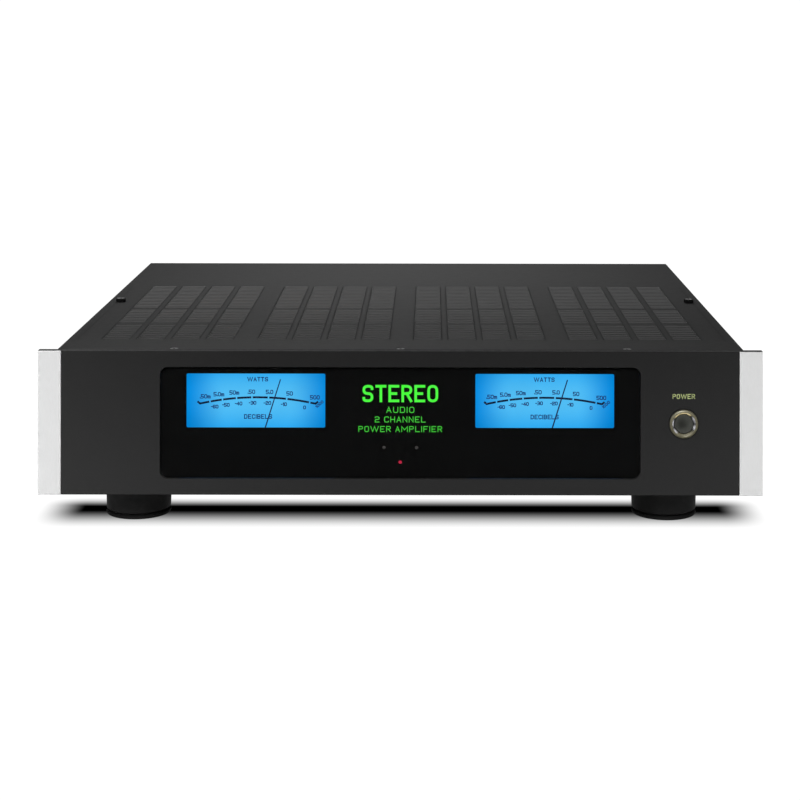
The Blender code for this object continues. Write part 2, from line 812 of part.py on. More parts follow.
def make_mains_inlet():
    """Mains socket with its three pins, and the fuse drawer in a slot below it."""
    place = (INLET_X, REAR_Y, REAR_MID)
    flange = rounded_box("mains_inlet", (0.050, 0.0025, 0.036), 0.003, 3, rim=0.0004)
    flange_place = (INLET_X, reach(0.00155), REAR_MID)
    inlet = show("mains_inlet", flange, PAINT["black_plastic"], flange_place)
    body = span_box((-0.014, -0.024, -0.017), (0.014, 0.001, 0.017))
    join(inlet, guide("inlet_body", boxes("inlet_body", [body]), place))
    socket = rounded_box("inlet_socket", (0.0246, 0.018, 0.0160), 0.0025, 2)
    cut(inlet, guide("inlet_socket", socket, (INLET_X, reach(-0.004), REAR_MID + 0.0068)))
    slot = span_box((-0.0106, -0.020, -0.0156), (0.0106, 0.005, -0.0068))
    cut(inlet, guide("fuse_slot", boxes("fuse_slot", [slot]), place))
    pins = [
        span_box((x - 0.001, -0.0145, z - 0.002), (x + 0.001, -0.0045, z + 0.002))
        for x, z in ((-0.007, 0.0045), (0.0, 0.0090), (0.007, 0.0045))
    ]
    join(inlet, guide("inlet_pins", boxes("inlet_pins", pins), place))
    empty = pivot("fuse_drawer_travel", place)
    tray = span_box((-0.0103, -0.0165, -0.0153), (0.0103, 0.0036, -0.0071))
    drawer = show("fuse_drawer", boxes("fuse_drawer", [tray], bevel=0.0003), PAINT["black_plastic"])
    drawer.parent = empty
    notch = ((0.007, 0.0016, 0.002), (0, 0.0036, -0.0071))
    finger_notch = guide("finger_notch", boxes("finger_notch", [notch]))
    finger_notch.parent = empty
    cut(drawer, finger_notch)


def make_balanced_input(name, side):
    """Round three-pole socket on a square flange."""
    x = side * SOCKET_X
    flange = rounded_box("balanced_input", (0.026, 0.002, 0.031), 0.0035, 3)
    place = (x, REAR_Y, REAR_MID)
    flange_place = (x, reach(0.0013), REAR_MID)
    socket = show("balanced_input_" + name, flange, PAINT["zinc_black"], flange_place)
    barrel = rods("socket_barrel", [(0.0118, (0, -0.018, 0), 0.0193)], MEDIUM)
    join(socket, guide("socket_barrel_" + name, barrel, place))
    groove = [
        (0.0097, 0.0050),
        (0.0097, -0.0085),
        (0.0074, -0.0085),
        (0.0074, 0.0050),
    ]
    ring_mesh = profile_mesh("socket_groove", groove, closed=True)
    ring = guide("socket_groove_" + name, ring_mesh, place, ALONG_Y)
    cut(socket, spin(ring, MEDIUM))
    contact = [
        (0.0013, (0.0038 * math.sin(angle), -0.006, -0.0038 * math.cos(angle)), 0.012)
        for angle in (0.0, math.radians(120), math.radians(240))
    ]
    cut(socket, guide("socket_contacts_" + name, rods("socket_contacts", contact, 8), place))


def make_phono_block():
    """Plate with a pair of phono sockets, and the housing behind it."""
    place = (PHONO_X, REAR_Y, REAR_MID)
    plate = boxes("phono_inputs", [span_box((-0.009, GAP, -0.023), (0.009, 0.0018, 0.023))], bevel=0.0003)
    block = show("phono_inputs", plate, PAINT["black_plastic"], place)
    shell = [
        (0.0, 0.0030),
        (0.0016, 0.0030),
        (0.0016, 0.0098),
        (0.0032, 0.0098),
        (0.0032, 0.0108),
        (0.00415, 0.0108),
        (0.00415, 0.0010),
        (0.0052, 0.0010),
        (0.0052, -0.0030),
        (0.0, -0.0030),
    ]
    for z in phono_heights():
        barrel_mesh = profile_mesh("phono_barrel", shell)
        barrel = guide("phono_barrel", barrel_mesh, (PHONO_X, REAR_Y, z), ALONG_Y)
        join(block, spin(barrel, COARSE))
    housing = span_box((-0.0085, -0.014, -0.020), (0.0085, -0.0018, 0.020))
    join(block, guide("phono_housing", boxes("phono_housing", [housing]), place))


def make_speaker_terminal(name, x, finish):
    """Post through the rear panel, and the clamping collar and knob on its thread."""
    place = (x, REAR_Y, SPEAKER_Z)
    post = [
        (0.0, 0.0180),
        (0.0025, 0.0180),
        (0.0025, 0.0040),
        (0.0080, 0.0040),
        (0.0085, 0.0035),
        (0.0085, GAP),
        (0.0042, GAP),
        (0.0042, -0.0018),
        (0.0065, -0.0018),
        (0.0065, -0.0050),
        (0.0020, -0.0050),
        (0.0020, -0.0140),
        (0.0, -0.0140),
    ]
    post_mesh = profile_mesh("speaker_post", post)
    spin(show("speaker_post_" + name, post_mesh, PAINT["gold"], place, ALONG_Y), COARSE)
    washer = [(0.0065, 0.0059), (0.0065, 0.0044), (0.0029, 0.0044), (0.0029, 0.0059)]
    empty = pivot("speaker_travel_" + name, place)
    washer_mesh = profile_mesh("speaker_collar", washer, closed=True)
    collar = show("speaker_collar_" + name, washer_mesh, PAINT["gold"], (0, 0, 0), ALONG_Y)
    collar.parent = empty
    spin(collar, COARSE)
    knob = show("speaker_knob_" + name, fluted_grip("speaker_knob", 0.0072, 0.0062, 0.0240), finish)
    knob.parent = empty
    bore = guide("knob_bore_" + name, rods("knob_bore", [(0.0029, (0, 0.004, 0), 0.0165)], COARSE))
    bore.parent = empty
    cut(knob, bore)


def fluted_grip(name, radius, start, end):
    """A grip along Y with eight shallow flutes."""
    shape = bmesh.new()
    middle = (0, (start + end) / 2, 0)
    bmesh.ops.create_cone(
        shape,
        cap_ends=True,
        segments=FINE,
        radius1=radius,
        radius2=radius,
        depth=end - start,
        matrix=Matrix.Translation(middle) @ Matrix.Rotation(math.pi / 2, 4, "X"),
    )
    for vert in shape.verts:
        angle = math.atan2(vert.co.z, vert.co.x)
        squeeze = 1.0 - 0.09 * (0.5 + 0.5 * math.cos(8 * angle))
        vert.co.x *= squeeze
        vert.co.z *= squeeze
    return mesh_from(shape, name)


# ---------------------------------------------------------------- inside
def make_transformer():
    """Toroidal mains transformer under a clamping disc and its bolt."""
    winding = [
        (0.0, 0.064),
        (0.007, 0.064),
        (0.007, 0.060),
        (0.034, 0.060),
        (0.038, 0.0575),
        (0.058, 0.0575),
        (0.064, 0.051),
        (0.064, 0.007),
        (0.058, 0.0),
        (0.0, 0.0),
    ]
    place = (-0.105, depth(0.125), FLOOR_TOP)
    mesh = profile_mesh("mains_transformer", winding)
    spin(show("mains_transformer", mesh, PAINT["winding"], place), FINE)


def make_circuit(name, low, high, blocks, cans):
    """A circuit board on four pillars.

    Blocks are (x, y, width, length, height) and round components (x, y, radius, height),
    both standing on the board.
    """
    plate = span_box((*low, CIRCUIT_Z), (*high, BOARD_TOP))
    board = show(name, boxes(name, [plate]), PAINT["board"])
    root = CIRCUIT_Z + BOARD_THICKNESS / 2
    pillars = [
        (PILLAR_RADIUS, (x, y, FLOOR_TOP), root - FLOOR_TOP)
        for x in (low[0] + PILLAR_INSET, high[0] - PILLAR_INSET)
        for y in (low[1] + PILLAR_INSET, high[1] - PILLAR_INSET)
    ]
    join(board, guide(name + "_pillars", cylinders("board_pillars", pillars, 8)))
    standing = [
        span_box(
            (x - width / 2, y - length / 2, root),
            (x + width / 2, y + length / 2, BOARD_TOP + height),
        )
        for x, y, width, length, height in blocks
    ]
    join(board, guide(name + "_blocks", boxes("board_blocks", standing)))
    round_parts = [(radius, (x, y, root), BOARD_TOP + height - root) for x, y, radius, height in cans]
    join(board, guide(name + "_cans", cylinders("board_cans", round_parts, COARSE)))


def make_boards():
    """Power supply board on the left and amplifier board on the right."""
    cans = [(x, depth(y), 0.015, 0.0472) for x in (-0.165, -0.130, -0.095) for y in (0.235, 0.272)]
    blocks = [
        (-0.030, depth(0.306), 0.020, 0.010, 0.009),
        (-0.045, depth(0.245), 0.030, 0.040, 0.026),
    ]
    make_circuit("power_supply_board", (-0.195, depth(0.205)), (-0.015, depth(0.325)), blocks, cans)
    blocks = [
        (0.018, depth(0.118), 0.020, 0.008, 0.008),
        (0.060, depth(0.309), 0.016, 0.012, 0.020),
        (0.140, depth(0.309), 0.016, 0.012, 0.020),
        (0.100, depth(0.309), 0.040, 0.012, 0.014),
    ]
    coils = [(x, depth(0.120), 0.0065, 0.0152) for x in (0.045, 0.155)]
    make_circuit("amplifier_board", (0.005, depth(0.110)), (0.190, depth(0.320)), blocks, coils)


def heatsink_outline():
    """Upright fins on a base plate with two short legs, as an (x, z) outline."""
    half = 0.070
    leg = 0.004
    foot = BOARD_TOP + GAP
    base = 0.047
    deck = 0.053
    tip = 0.098
    fins = 12
    fin = 0.0022
    pitch = (2 * half - fin) / (fins - 1)
    points = [(half, foot), (half, tip)]
    for index in range(fins):
        right = half - index * pitch
        if index:
            points += [(right, deck), (right, tip)]
        points.append((right - fin, tip))
        if index < fins - 1:
            points.append((right - fin, deck))
    points += [(-half, foot), (-half + leg, foot), (-half + leg, base)]
    points += [(half - leg, base), (half - leg, foot)]
    return points


def make_heatsink():
    length = 0.160
    place = (0.100, depth(0.215), 0)
    outline_part("heatsink", heatsink_outline(), length, PAINT["aluminium"], place, UPRIGHT_OUTLINE)


def make_ribbon_cable():
    """Flat cable from the display board down and back to the amplifier board."""
    thick = 0.0009
    path = [
        (0.0115, 0.046),
        (0.0115, 0.034),
        (0.0135, 0.0295),
        (0.018, 0.028),
        (0.098, 0.028),
        (0.104, 0.030),
        (0.1075, 0.040),
    ]
    near = [Vector(point) for point in path]
    sides = ([], [])
    for index, point in enumerate(near):
        before = near[max(index - 1, 0)]
        after = near[min(index + 1, len(near) - 1)]
        along = (after - before).normalized()
        normal = Vector((-along.y, along.x)) * thick / 2
        sides[0].append(point + normal)
        sides[1].append(point - normal)
    outline = [tuple(point) for point in sides[0] + sides[1][::-1]]
    across_x = tuple(Matrix(((0, 0, 1), (1, 0, 0), (0, 1, 0))).to_euler())
    place = (0.018, FACE_Y, 0)
    outline_part("display_ribbon_cable", outline, 0.020, PAINT["ribbon"], place, across_x)


def make_mains_lead():
    points = [
        (INLET_X, reach(-0.0245), REAR_MID - 0.004),
        (INLET_X, reach(-0.0300), REAR_MID - 0.004),
        (INLET_X - 0.003, reach(-0.0350), REAR_MID - 0.006),
        (INLET_X - 0.010, reach(-0.0375), REAR_MID - 0.010),
        (-0.022, reach(-0.0385), 0.044),
        (-0.028, reach(-0.0410), 0.041),
        (-0.030, reach(-0.0460), 0.040),
        (-0.030, depth(0.3115), 0.040),
    ]
    tube_part("mains_lead", points, 0.0022, PAINT["lead"])


# ---------------------------------------------------------------- assembly
def make_paints():
    return {
        "sheet": paint("black_sheet", (0.020, 0.020, 0.021), 0.55),
        "cover": paint("cover_enamel", (0.042, 0.042, 0.042), 0.60),
        "panel": paint("front_panel_enamel", (0.018, 0.018, 0.019), 0.50),
        "silver": paint("satin_silver", (0.76, 0.77, 0.77), 0.30, 1.0),
        "lens": paint("smoked_lens", (0.004, 0.004, 0.004), 0.05),
        "mask": paint("black_print", (0.003, 0.003, 0.003), 0.30),
        "dial": paint("blue_dial", (0.030, 0.380, 0.850), 0.60),
        "ink": paint("meter_ink", (0.004, 0.014, 0.040), 0.45),
        "white": paint("white_plastic", (0.75, 0.76, 0.76), 0.50),
        "zinc": paint("zinc_plate", (0.55, 0.55, 0.53), 0.35, 1.0),
        "zinc_black": paint("black_zinc", (0.030, 0.030, 0.032), 0.40, 0.6),
        "button": paint("button_cap", (0.040, 0.040, 0.038), 0.35),
        "chrome": paint("bezel_chrome", (0.60, 0.58, 0.50), 0.12, 1.0),
        "black_plastic": paint("black_plastic", (0.015, 0.015, 0.016), 0.45),
        "foot": paint("foot_plastic", (0.014, 0.014, 0.014), 0.45),
        "rubber": paint("black_rubber", (0.012, 0.012, 0.012), 0.80),
        "screw": paint("black_oxide_screw", (0.025, 0.025, 0.026), 0.35, 0.8),
        "gold": paint("gold_plate", (0.80, 0.60, 0.28), 0.25, 1.0),
        "red_grip": paint("red_grip", (0.420, 0.016, 0.014), 0.35),
        "black_grip": paint("black_grip", (0.012, 0.012, 0.012), 0.35),
        "board": paint("circuit_board", (0.014, 0.100, 0.045), 0.50),
        "winding": paint("winding_tape", (0.240, 0.090, 0.020), 0.45),
        "aluminium": paint("heatsink_aluminium", (0.62, 0.63, 0.64), 0.38, 1.0),
        "red_led": paint("red_led", (0.600, 0.010, 0.020), 0.20),
        "dim_led": paint("dim_led", (0.250, 0.240, 0.235), 0.25),
        "ribbon": paint("ribbon_cable", (0.42, 0.43, 0.44), 0.60),
        "lead": paint("mains_lead", (0.018, 0.018, 0.018), 0.50),
    }


def make_amplifier():
    make_tray()
    make_cover()
    make_cover_screws()
    make_feet()
    make_front_panel()
    make_end_caps()
    make_display()
    make_display_board()
    make_meter_bracket()
    for name, side in (("left", -1), ("right", 1)):
        make_meter(name, side)
        make_balanced_input(name, side)
    make_power_button()
    make_rear_panel()
    make_mains_inlet()
    make_phono_block()
    for name, side in (("left", -1), ("right", 1)):
        for sign, finish, x in zip(("minus", "plus"), ("black_grip", "red_grip"), SPEAKER_X):
            make_speaker_terminal(name + "_" + sign, side * x, PAINT[finish])
    make_transformer()
    make_boards()
    make_heatsink()
    make_ribbon_cable()
    make_mains_lead()


clear_objects()
PARTS = new_collection("power_amplifier")
CUTTERS = new_collection("cutters")
PAINT = make_paints()
make_amplifier()
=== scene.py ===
"""Looks of the two-channel power amplifier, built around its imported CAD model.

Metres, in the CAD model's frame: X to the right seen from the front, Y to the back, Z up.
Some shading is painted into the materials by place, so that the main view matches the photo.
"""

import json
import math

import bmesh
import bpy
from mathutils import Matrix, Vector


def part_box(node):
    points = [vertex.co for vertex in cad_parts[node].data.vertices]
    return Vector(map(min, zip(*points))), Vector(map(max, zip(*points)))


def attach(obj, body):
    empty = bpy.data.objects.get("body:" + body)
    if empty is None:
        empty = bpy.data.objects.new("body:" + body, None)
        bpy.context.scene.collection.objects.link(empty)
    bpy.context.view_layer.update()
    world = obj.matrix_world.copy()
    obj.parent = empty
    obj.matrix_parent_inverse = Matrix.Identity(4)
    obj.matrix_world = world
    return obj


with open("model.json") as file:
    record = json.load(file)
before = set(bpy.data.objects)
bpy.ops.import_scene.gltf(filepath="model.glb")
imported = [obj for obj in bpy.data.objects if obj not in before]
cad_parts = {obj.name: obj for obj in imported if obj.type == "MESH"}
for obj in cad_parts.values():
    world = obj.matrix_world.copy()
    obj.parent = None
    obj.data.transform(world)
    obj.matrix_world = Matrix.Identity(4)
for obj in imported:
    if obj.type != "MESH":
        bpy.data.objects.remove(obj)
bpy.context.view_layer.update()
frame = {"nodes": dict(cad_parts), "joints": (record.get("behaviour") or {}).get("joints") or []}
NODES = frame["nodes"]

MM = 0.001
SCENE = bpy.context.scene
PANEL_LOW, PANEL_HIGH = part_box("front_panel")
FACE_Y = PANEL_LOW.y
PANEL_TOP = PANEL_HIGH.z
REAR_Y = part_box("rear_panel")[1].y
SIDES = ("left", "right")


def centre(node):
    """The middle of a CAD node's box."""
    low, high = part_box(node)
    return (low + high) / 2


# ---------------------------------------------------------------- shader graphs
# places of the colour sockets on a Mix node
MIX_FIRST, MIX_SECOND, MIX_RESULT = 6, 7, 2


class Graph:
    """A material whose nodes are added by name and linked as they are made."""

    def __init__(self, name):
        self.material = bpy.data.materials.new(name)
        self.material.use_nodes = True
        self.tree = self.material.node_tree
        self.tree.nodes.clear()
        self.output = self.tree.nodes.new("ShaderNodeOutputMaterial")

    def feed(self, socket, value):
        if isinstance(value, bpy.types.NodeSocket):
            self.tree.links.new(value, socket)
        elif isinstance(value, tuple) and len(value) == 3 and socket.type == "RGBA":
            socket.default_value = (*value, 1.0)
        else:
            socket.default_value = value

    def node(self, kind, settings=None, **inputs):
        made = self.tree.nodes.new("ShaderNode" + kind)
        for key, value in (settings or {}).items():
            setattr(made, key, value)
        for key, value in inputs.items():
            self.feed(made.inputs[key.replace("_", " ")], value)
        return made

    def math(self, operation, first, second=0.0, third=0.0):
        made = self.node("Math", {"operation": operation})
        for socket, value in zip(made.inputs, (first, second, third)):
            self.feed(socket, value)
        return made.outputs[0]

    def product(self, first, *others):
        for other in others:
            first = self.math("MULTIPLY", first, other)
        return first

    def length(self, first, second):
        """Length of the line with these two legs."""
        squares = (self.math("MULTIPLY", leg, leg) for leg in (first, second))
        return self.math("SQRT", self.math("ADD", *squares))

    def share(self, value, low, high):
        """The value's place between two fixed numbers, not clamped."""
        return self.math("DIVIDE", self.math("SUBTRACT", value, low), high - low)

    def half_up(self, wave):
        """A wave between -1 and 1 moved to between 0 and 1."""
        return self.math("MULTIPLY_ADD", wave, 0.5, 0.5)

    def mix(self, factor, first, second):
        made = self.node("Mix", {"data_type": "RGBA"})
        self.feed(made.inputs["Factor"], factor)
        self.feed(made.inputs[MIX_FIRST], first)
        self.feed(made.inputs[MIX_SECOND], second)
        return made.outputs[MIX_RESULT]

    def grey(self, level):
        """A grey whose level is itself computed."""
        return self.node("CombineColor", Red=level, Green=level, Blue=level).outputs[0]

    def facing_front(self):
        """One where the surface faces the front or the back squarely, falling to none elsewhere."""
        return self.span(self.math("ABSOLUTE", self.axes(self.normal())[1]), 0.90, 0.99)

    def normal(self, kind="Normal"):
        return self.node("NewGeometry").outputs[kind]

    def place(self):
        """The point's place in the object's own space, which is the CAD frame for a CAD node."""
        return self.node("TexCoord").outputs["Object"]

    def axes(self, place=None):
        split = self.node("SeparateXYZ")
        self.feed(split.inputs[0], place or self.place())
        return split.outputs

    def stretched(self, scale):
        mapping = self.node("Mapping", Scale=scale)
        self.feed(mapping.inputs["Vector"], self.place())
        return mapping.outputs[0]

    def noise(self, size, detail=3.0, vector=None):
        """Noise between 0 and 1 whose features are about this many metres across."""
        made = self.node("TexNoise", Scale=1.0 / size, Detail=detail, Roughness=0.55)
        self.feed(made.inputs["Vector"], vector or self.place())
        return made.outputs["Fac"]

    def ramp(self, factor, *stops):
        """Colour ramp from (position, colour) pairs."""
        made = self.node("ValToRGB", Fac=factor)
        elements = made.color_ramp.elements
        while len(elements) < len(stops):
            elements.new(0.5)
        for element, (position, colour) in zip(elements, stops):
            element.position = position
            element.color = (*colour, 1.0)
        return made.outputs["Color"]

    def span(self, value, low, high, out_low=0.0, out_high=1.0):
        """The value's place between low and high, clamped and smoothed."""
        made = self.node("MapRange", {"interpolation_type": "SMOOTHSTEP"})
        for socket, number in zip(made.inputs, (value, low, high, out_low, out_high)):
            self.feed(socket, number)
        return made.outputs[0]

    def bump(self, height, distance, strength=1.0):
        made = self.node("Bump", Height=height, Distance=distance, Strength=strength)
        return made.outputs["Normal"]

    def surface(self, **inputs):
        """Ends the graph in one Principled BSDF."""
        made = self.node("BsdfPrincipled", **inputs)
        self.tree.links.new(made.outputs[0], self.output.inputs["Surface"])
        return self.material

    def shade(self, factor, first, second):
        made = self.node("MixShader", Fac=factor)
        self.feed(made.inputs[1], first)
        self.feed(made.inputs[2], second)
        return made.outputs[0]

    def end(self, shader):
        self.tree.links.new(shader, self.output.inputs["Surface"])
        return self.material


def grey(level):
    return (level, level, level)


def scaled(colour, gain):
    return tuple(min(part * gain, 1.0) for part in colour)


def powder_coat(name, colour):
    """Fine-textured paint: small rounded bumps and a slight mottle."""
    g = Graph(name)
    fine = g.noise(0.45 * MM, 2.0)
    broad = g.noise(18 * MM, 3.0)
    mottle = g.math("ADD", g.math("MULTIPLY", fine, 0.6), g.math("MULTIPLY", broad, 0.4))
    tint = g.ramp(mottle, (0.35, scaled(colour, 0.86)), (0.65, scaled(colour, 1.14)))
    return g.surface(
        **{"Base Color": tint, "Specular IOR Level": 0.25},
        Roughness=g.span(g.noise(4 * MM), 0.3, 0.7, 0.49, 0.61),
        Normal=g.bump(fine, 0.03 * MM, 0.7),
    )


def satin_metal(name, colour, roughness, along, metallic=1.0):
    """Metal with fine streaks; along gives the stretch of the streaks on each axis."""
    g = Graph(name)
    streak = g.noise(0.25 * MM, 3.0, g.stretched(along))
    cloud = g.noise(22 * MM, 2.0)
    mottle = g.math("ADD", g.math("MULTIPLY", streak, 0.5), g.math("MULTIPLY", cloud, 0.5))
    tint = g.ramp(mottle, (0.35, scaled(colour, 0.94)), (0.65, scaled(colour, 1.04)))
    rough = g.span(streak, 0.25, 0.75, roughness - 0.05, roughness + 0.08)
    return g.surface(
        **{"Base Color": tint},
        Roughness=rough,
        Metallic=metallic,
        Normal=g.bump(streak, 0.01 * MM, 0.4),
    )


def moulded(name, colour, roughness, specular=0.4):
    """Moulded plastic or rubber: soft mottle, faint spark-eroded grain, uneven gloss."""
    g = Graph(name)
    fine = g.noise(0.7 * MM, 2.0)
    cloud = g.noise(9 * MM, 3.0)
    tint = g.ramp(cloud, (0.3, scaled(colour, 0.85)), (0.7, scaled(colour, 1.12)))
    rough = g.span(g.noise(2.5 * MM), 0.3, 0.7, roughness - 0.07, roughness + 0.07)
    return g.surface(
        **{"Base Color": tint, "Specular IOR Level": specular},
        Roughness=rough,
        Normal=g.bump(fine, 0.02 * MM, 0.5),
    )


def glowing(name, colour, base=(0.01, 0.01, 0.01)):
    """Printed or moulded part glowing with painted backlight, a little uneven."""
    g = Graph(name)
    cloud = g.noise(1.6 * MM, 2.0)
    glow = g.ramp(cloud, (0.3, scaled(colour, 0.92)), (0.7, colour))
    return g.surface(
        **{"Base Color": base, "Emission Color": glow, "Emission Strength": 1.0},
        Roughness=g.span(cloud, 0.3, 0.7, 0.35, 0.5),
    )


GLASS_REFLECTION = 0.0015


def lens_glass():
    """Thin coated glass: clear, with a faint reflection and a few soft smears."""
    g = Graph("coated_glass")
    smear = g.noise(14 * MM, 4.0, g.stretched((1.0, 1.0, 0.4)))
    gloss = g.node("BsdfGlossy", Color=grey(0.9), Roughness=g.span(smear, 0.4, 0.75, 0.03, 0.09))
    clear = g.node("BsdfTransparent", Color=(0.985, 0.99, 0.99))
    facing = g.node("LayerWeight", Blend=0.25).outputs["Facing"]
    share = g.span(facing, 0.0, 1.0, GLASS_REFLECTION, 0.5)
    factor = g.math("MULTIPLY", share, g.span(smear, 0.3, 0.8, 0.9, 1.1))
    return g.end(g.shade(factor, clear.outputs[0], gloss.outputs[0]))


DIAL_HALF_WIDTH = 44 * MM
DIAL_HALF_HEIGHT = 17.5 * MM
# colours of the painted backlight: middle, sides, top and bottom edges, corners
DIAL_PALE = (0.085, 0.525, 0.940)
DIAL_DEEP = (0.0, 0.270, 0.770)
DIAL_RIM = (0.022, 0.400, 0.900)
DIAL_CORNER = (0.0, 0.215, 0.620)


def dial_glow(side):
    """Blue dial in painted backlight: palest in the middle, deep blue shade at sides and corners.
    """
    middle = dial_middle(side)
    g = Graph("dial_glow_" + side)
    x, _, z = g.axes()
    across = g.math("ABSOLUTE", g.share(x, middle.x, middle.x + DIAL_HALF_WIDTH))
    up = g.math("ABSOLUTE", g.share(z, middle.z, middle.z + DIAL_HALF_HEIGHT))
    # painted shade toward the sides and toward the top and bottom edges
    toward_side = g.span(across, 0.42, 1.02)
    edge = g.span(up, 0.15, 1.25)
    row_middle = g.mix(toward_side, DIAL_PALE, DIAL_DEEP)
    row_edge = g.mix(toward_side, DIAL_RIM, DIAL_CORNER)
    cloud = g.span(g.noise(30 * MM, 2.0), 0.25, 0.75, 0.96, 1.03)
    shader = g.node("Emission", Color=g.mix(edge, row_middle, row_edge), Strength=cloud)
    return g.end(shader.outputs[0])


TRACE_SPACING = 7 * MM


def circuit_board(name, top_z):
    """Green solder resist with traces; whatever stands higher is dark sleeves and pale tops."""
    g = Graph(name)
    z = g.axes()[2]
    style = {"distance": "MANHATTAN", "feature": "DISTANCE_TO_EDGE"}
    cells = g.node("TexVoronoi", style, Scale=1 / TRACE_SPACING)
    g.feed(cells.inputs["Vector"], g.place())
    trace = g.span(cells.outputs["Distance"], 0.02, 0.05)
    green = g.mix(trace, (0.020, 0.160, 0.070), (0.010, 0.075, 0.032))
    above = g.span(z, top_z + 0.2 * MM, top_z + 0.5 * MM)
    facing_up = g.span(g.axes(g.normal())[2], 0.8, 0.95)
    sleeve = g.ramp(g.noise(8 * MM), (0.4, (0.012, 0.013, 0.018)), (0.6, (0.022, 0.024, 0.035)))
    part = g.mix(facing_up, sleeve, grey(0.42))
    rough = g.span(g.noise(3 * MM), 0.3, 0.7, 0.3, 0.5)
    return g.surface(**{"Base Color": g.mix(above, green, part)}, Roughness=rough)


TAPE_TURNS = 140.0
DISC_THICKNESS = 6 * MM
DISC_RADIUS = 38 * MM


def transformer_winding():
    """Amber tape wound round a ring, under a steel clamping disc."""
    middle = centre("mains_transformer")
    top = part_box("mains_transformer")[1].z
    g = Graph("transformer_winding")
    x, y, z = g.axes()
    dx = g.math("SUBTRACT", x, middle.x)
    dy = g.math("SUBTRACT", y, middle.y)
    angle = g.math("ARCTAN2", dy, dx)
    turn = g.math("SINE", g.math("MULTIPLY", angle, TAPE_TURNS))
    amber = g.ramp(g.half_up(turn), (0.2, (0.16, 0.050, 0.010)), (0.8, (0.40, 0.160, 0.035)))
    on_top = g.math("GREATER_THAN", z, top - DISC_THICKNESS)
    disc = g.product(g.math("LESS_THAN", g.length(dx, dy), DISC_RADIUS), on_top)
    return g.surface(
        **{"Base Color": g.mix(disc, amber, (0.42, 0.42, 0.40))},
        Metallic=disc,
        Roughness=g.span(g.noise(3 * MM), 0.3, 0.7, 0.3, 0.45),
        Normal=g.bump(turn, 0.15 * MM, 0.6),
    )


CORE_PITCH = 1.27 * MM
RED_EDGE = 1.3 * MM


def ribbon_vinyl():
    """Flat cable: grey cores side by side, with one red edge."""
    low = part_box("display_ribbon_cable")[0]
    g = Graph("ribbon_vinyl")
    x = g.axes()[0]
    core = g.math("SINE", g.math("MULTIPLY", x, 2 * math.pi / CORE_PITCH))
    vinyl = g.ramp(g.half_up(core), (0.1, grey(0.25)), (0.6, grey(0.42)))
    first = g.math("LESS_THAN", x, low.x + RED_EDGE)
    tint = g.mix(first, vinyl, (0.4, 0.02, 0.02))
    return g.surface(**{"Base Color": tint}, Roughness=0.5, Normal=g.bump(core, 0.2 * MM, 0.7))


# ---------------------------------------------------------------- mesh tools
def add_piece(name, mesh, material):
    """A new piece that stays with the chassis."""
    piece = bpy.data.objects.new(name, mesh)
    piece.data.materials.append(material)
    SCENE.collection.objects.link(piece)
    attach(piece, "chassis")


def mesh_from(shape, name):
    """The finished mesh of a bmesh, with its faces turned outward."""
    bmesh.ops.recalc_face_normals(shape, faces=shape.faces)
    mesh = bpy.data.meshes.new(name)
    shape.to_mesh(mesh)
    shape.free()
    return mesh


# least cosine by which a corner's width is divided, so that sharp corners don't grow long
SHARPEST_MITRE = 0.45


def ribbon(shape, points, width, front, thickness, closed=False):
    """A closed band of even width along (x, z) points, facing the front."""
    count = len(points)
    rings = []
    for index, point in enumerate(points):
        legs = []
        if closed or index:
            legs.append((point - points[index - 1]).normalized())
        if closed or index < count - 1:
            legs.append((points[(index + 1) % count] - point).normalized())
        along = sum(legs, Vector((0, 0))).normalized()
        across = Vector((-along.y, along.x))
        lean = max(across.dot(Vector((-legs[0].y, legs[0].x))), SHARPEST_MITRE)
        across *= width / 2 / lean
        edges = (point + across, point - across)
        ring = [shape.verts.new((edge.x, front, edge.y)) for edge in edges]
        ring += [shape.verts.new((edge.x, front + thickness, edge.y)) for edge in edges[::-1]]
        rings.append(ring)
    pairs = list(zip(rings, rings[1:]))
    if closed:
        pairs.append((rings[-1], rings[0]))
    else:
        shape.faces.new(rings[0])
        shape.faces.new(rings[-1][::-1])
    for near, far in pairs:
        for side in range(4):
            after = (side + 1) % 4
            shape.faces.new((near[side], far[side], far[after], near[after]))


# Letters as pen strokes between (column, row) points of a grid mostly 4 columns wide and 6 rows
# high. A stroke that ends where it starts is a closed ring; one of up to three points keeps its
# corners.
LETTERS = {
    "A": "00 26 40|12 32",
    "B": "00 06|06 46 43 03|03 43 40 00",
    "C": "45 46 06 00 40 41",
    "D": "00 06|06 46 40 00",
    "E": "46 06 00 40|03 33",
    "F": "46 06 00|03 33",
    "H": "00 06|40 46|03 43",
    "I": "00 06",
    "K": "00 06|46 03 40",
    "L": "06 00 40",
    "M": "00 06 32 66 60",
    "N": "00 06 40 46",
    "O": "00 06 46 40 00",
    "P": "00 06|06 46 43 03",
    "R": "00 06|06 46 43 03|23 40",
    "S": "45 46 06 03 43 40 00 01",
    "T": "06 46|26 20",
    "U": "06 00 40 46",
    "W": "06 20 46 60 86",
    "0": "00 06 46 40 00",
    "1": "15 26 20",
    "2": "05 06 46 43 03 00|00 40",
    "3": "06 46 40 00|13 43",
    "4": "30 36 02 42",
    "5": "46 06 03|03 43 40 00",
    "6": "45 46 06 00 40 43 03",
    "m": "00 04|03 04 24 20|23 24 44 40",
    "+": "03 43|21 25",
    "-": "03 23",
    ".": "00 01",
    " ": "00 10",
}
LETTER_ROWS = 6
ROUND_LETTERS = set("BCDOPRSU02356m")
CORNER_STEPS = 4
CORNER_REACH = 1.8  # in rows
SAME_SPOT = 0.005 * MM
# columns between the letters of a word of given width, and between those of a number
LETTER_GAP = 2.3
NUMBER_GAP = 1.75
INK_RELIEF = 0.08 * MM


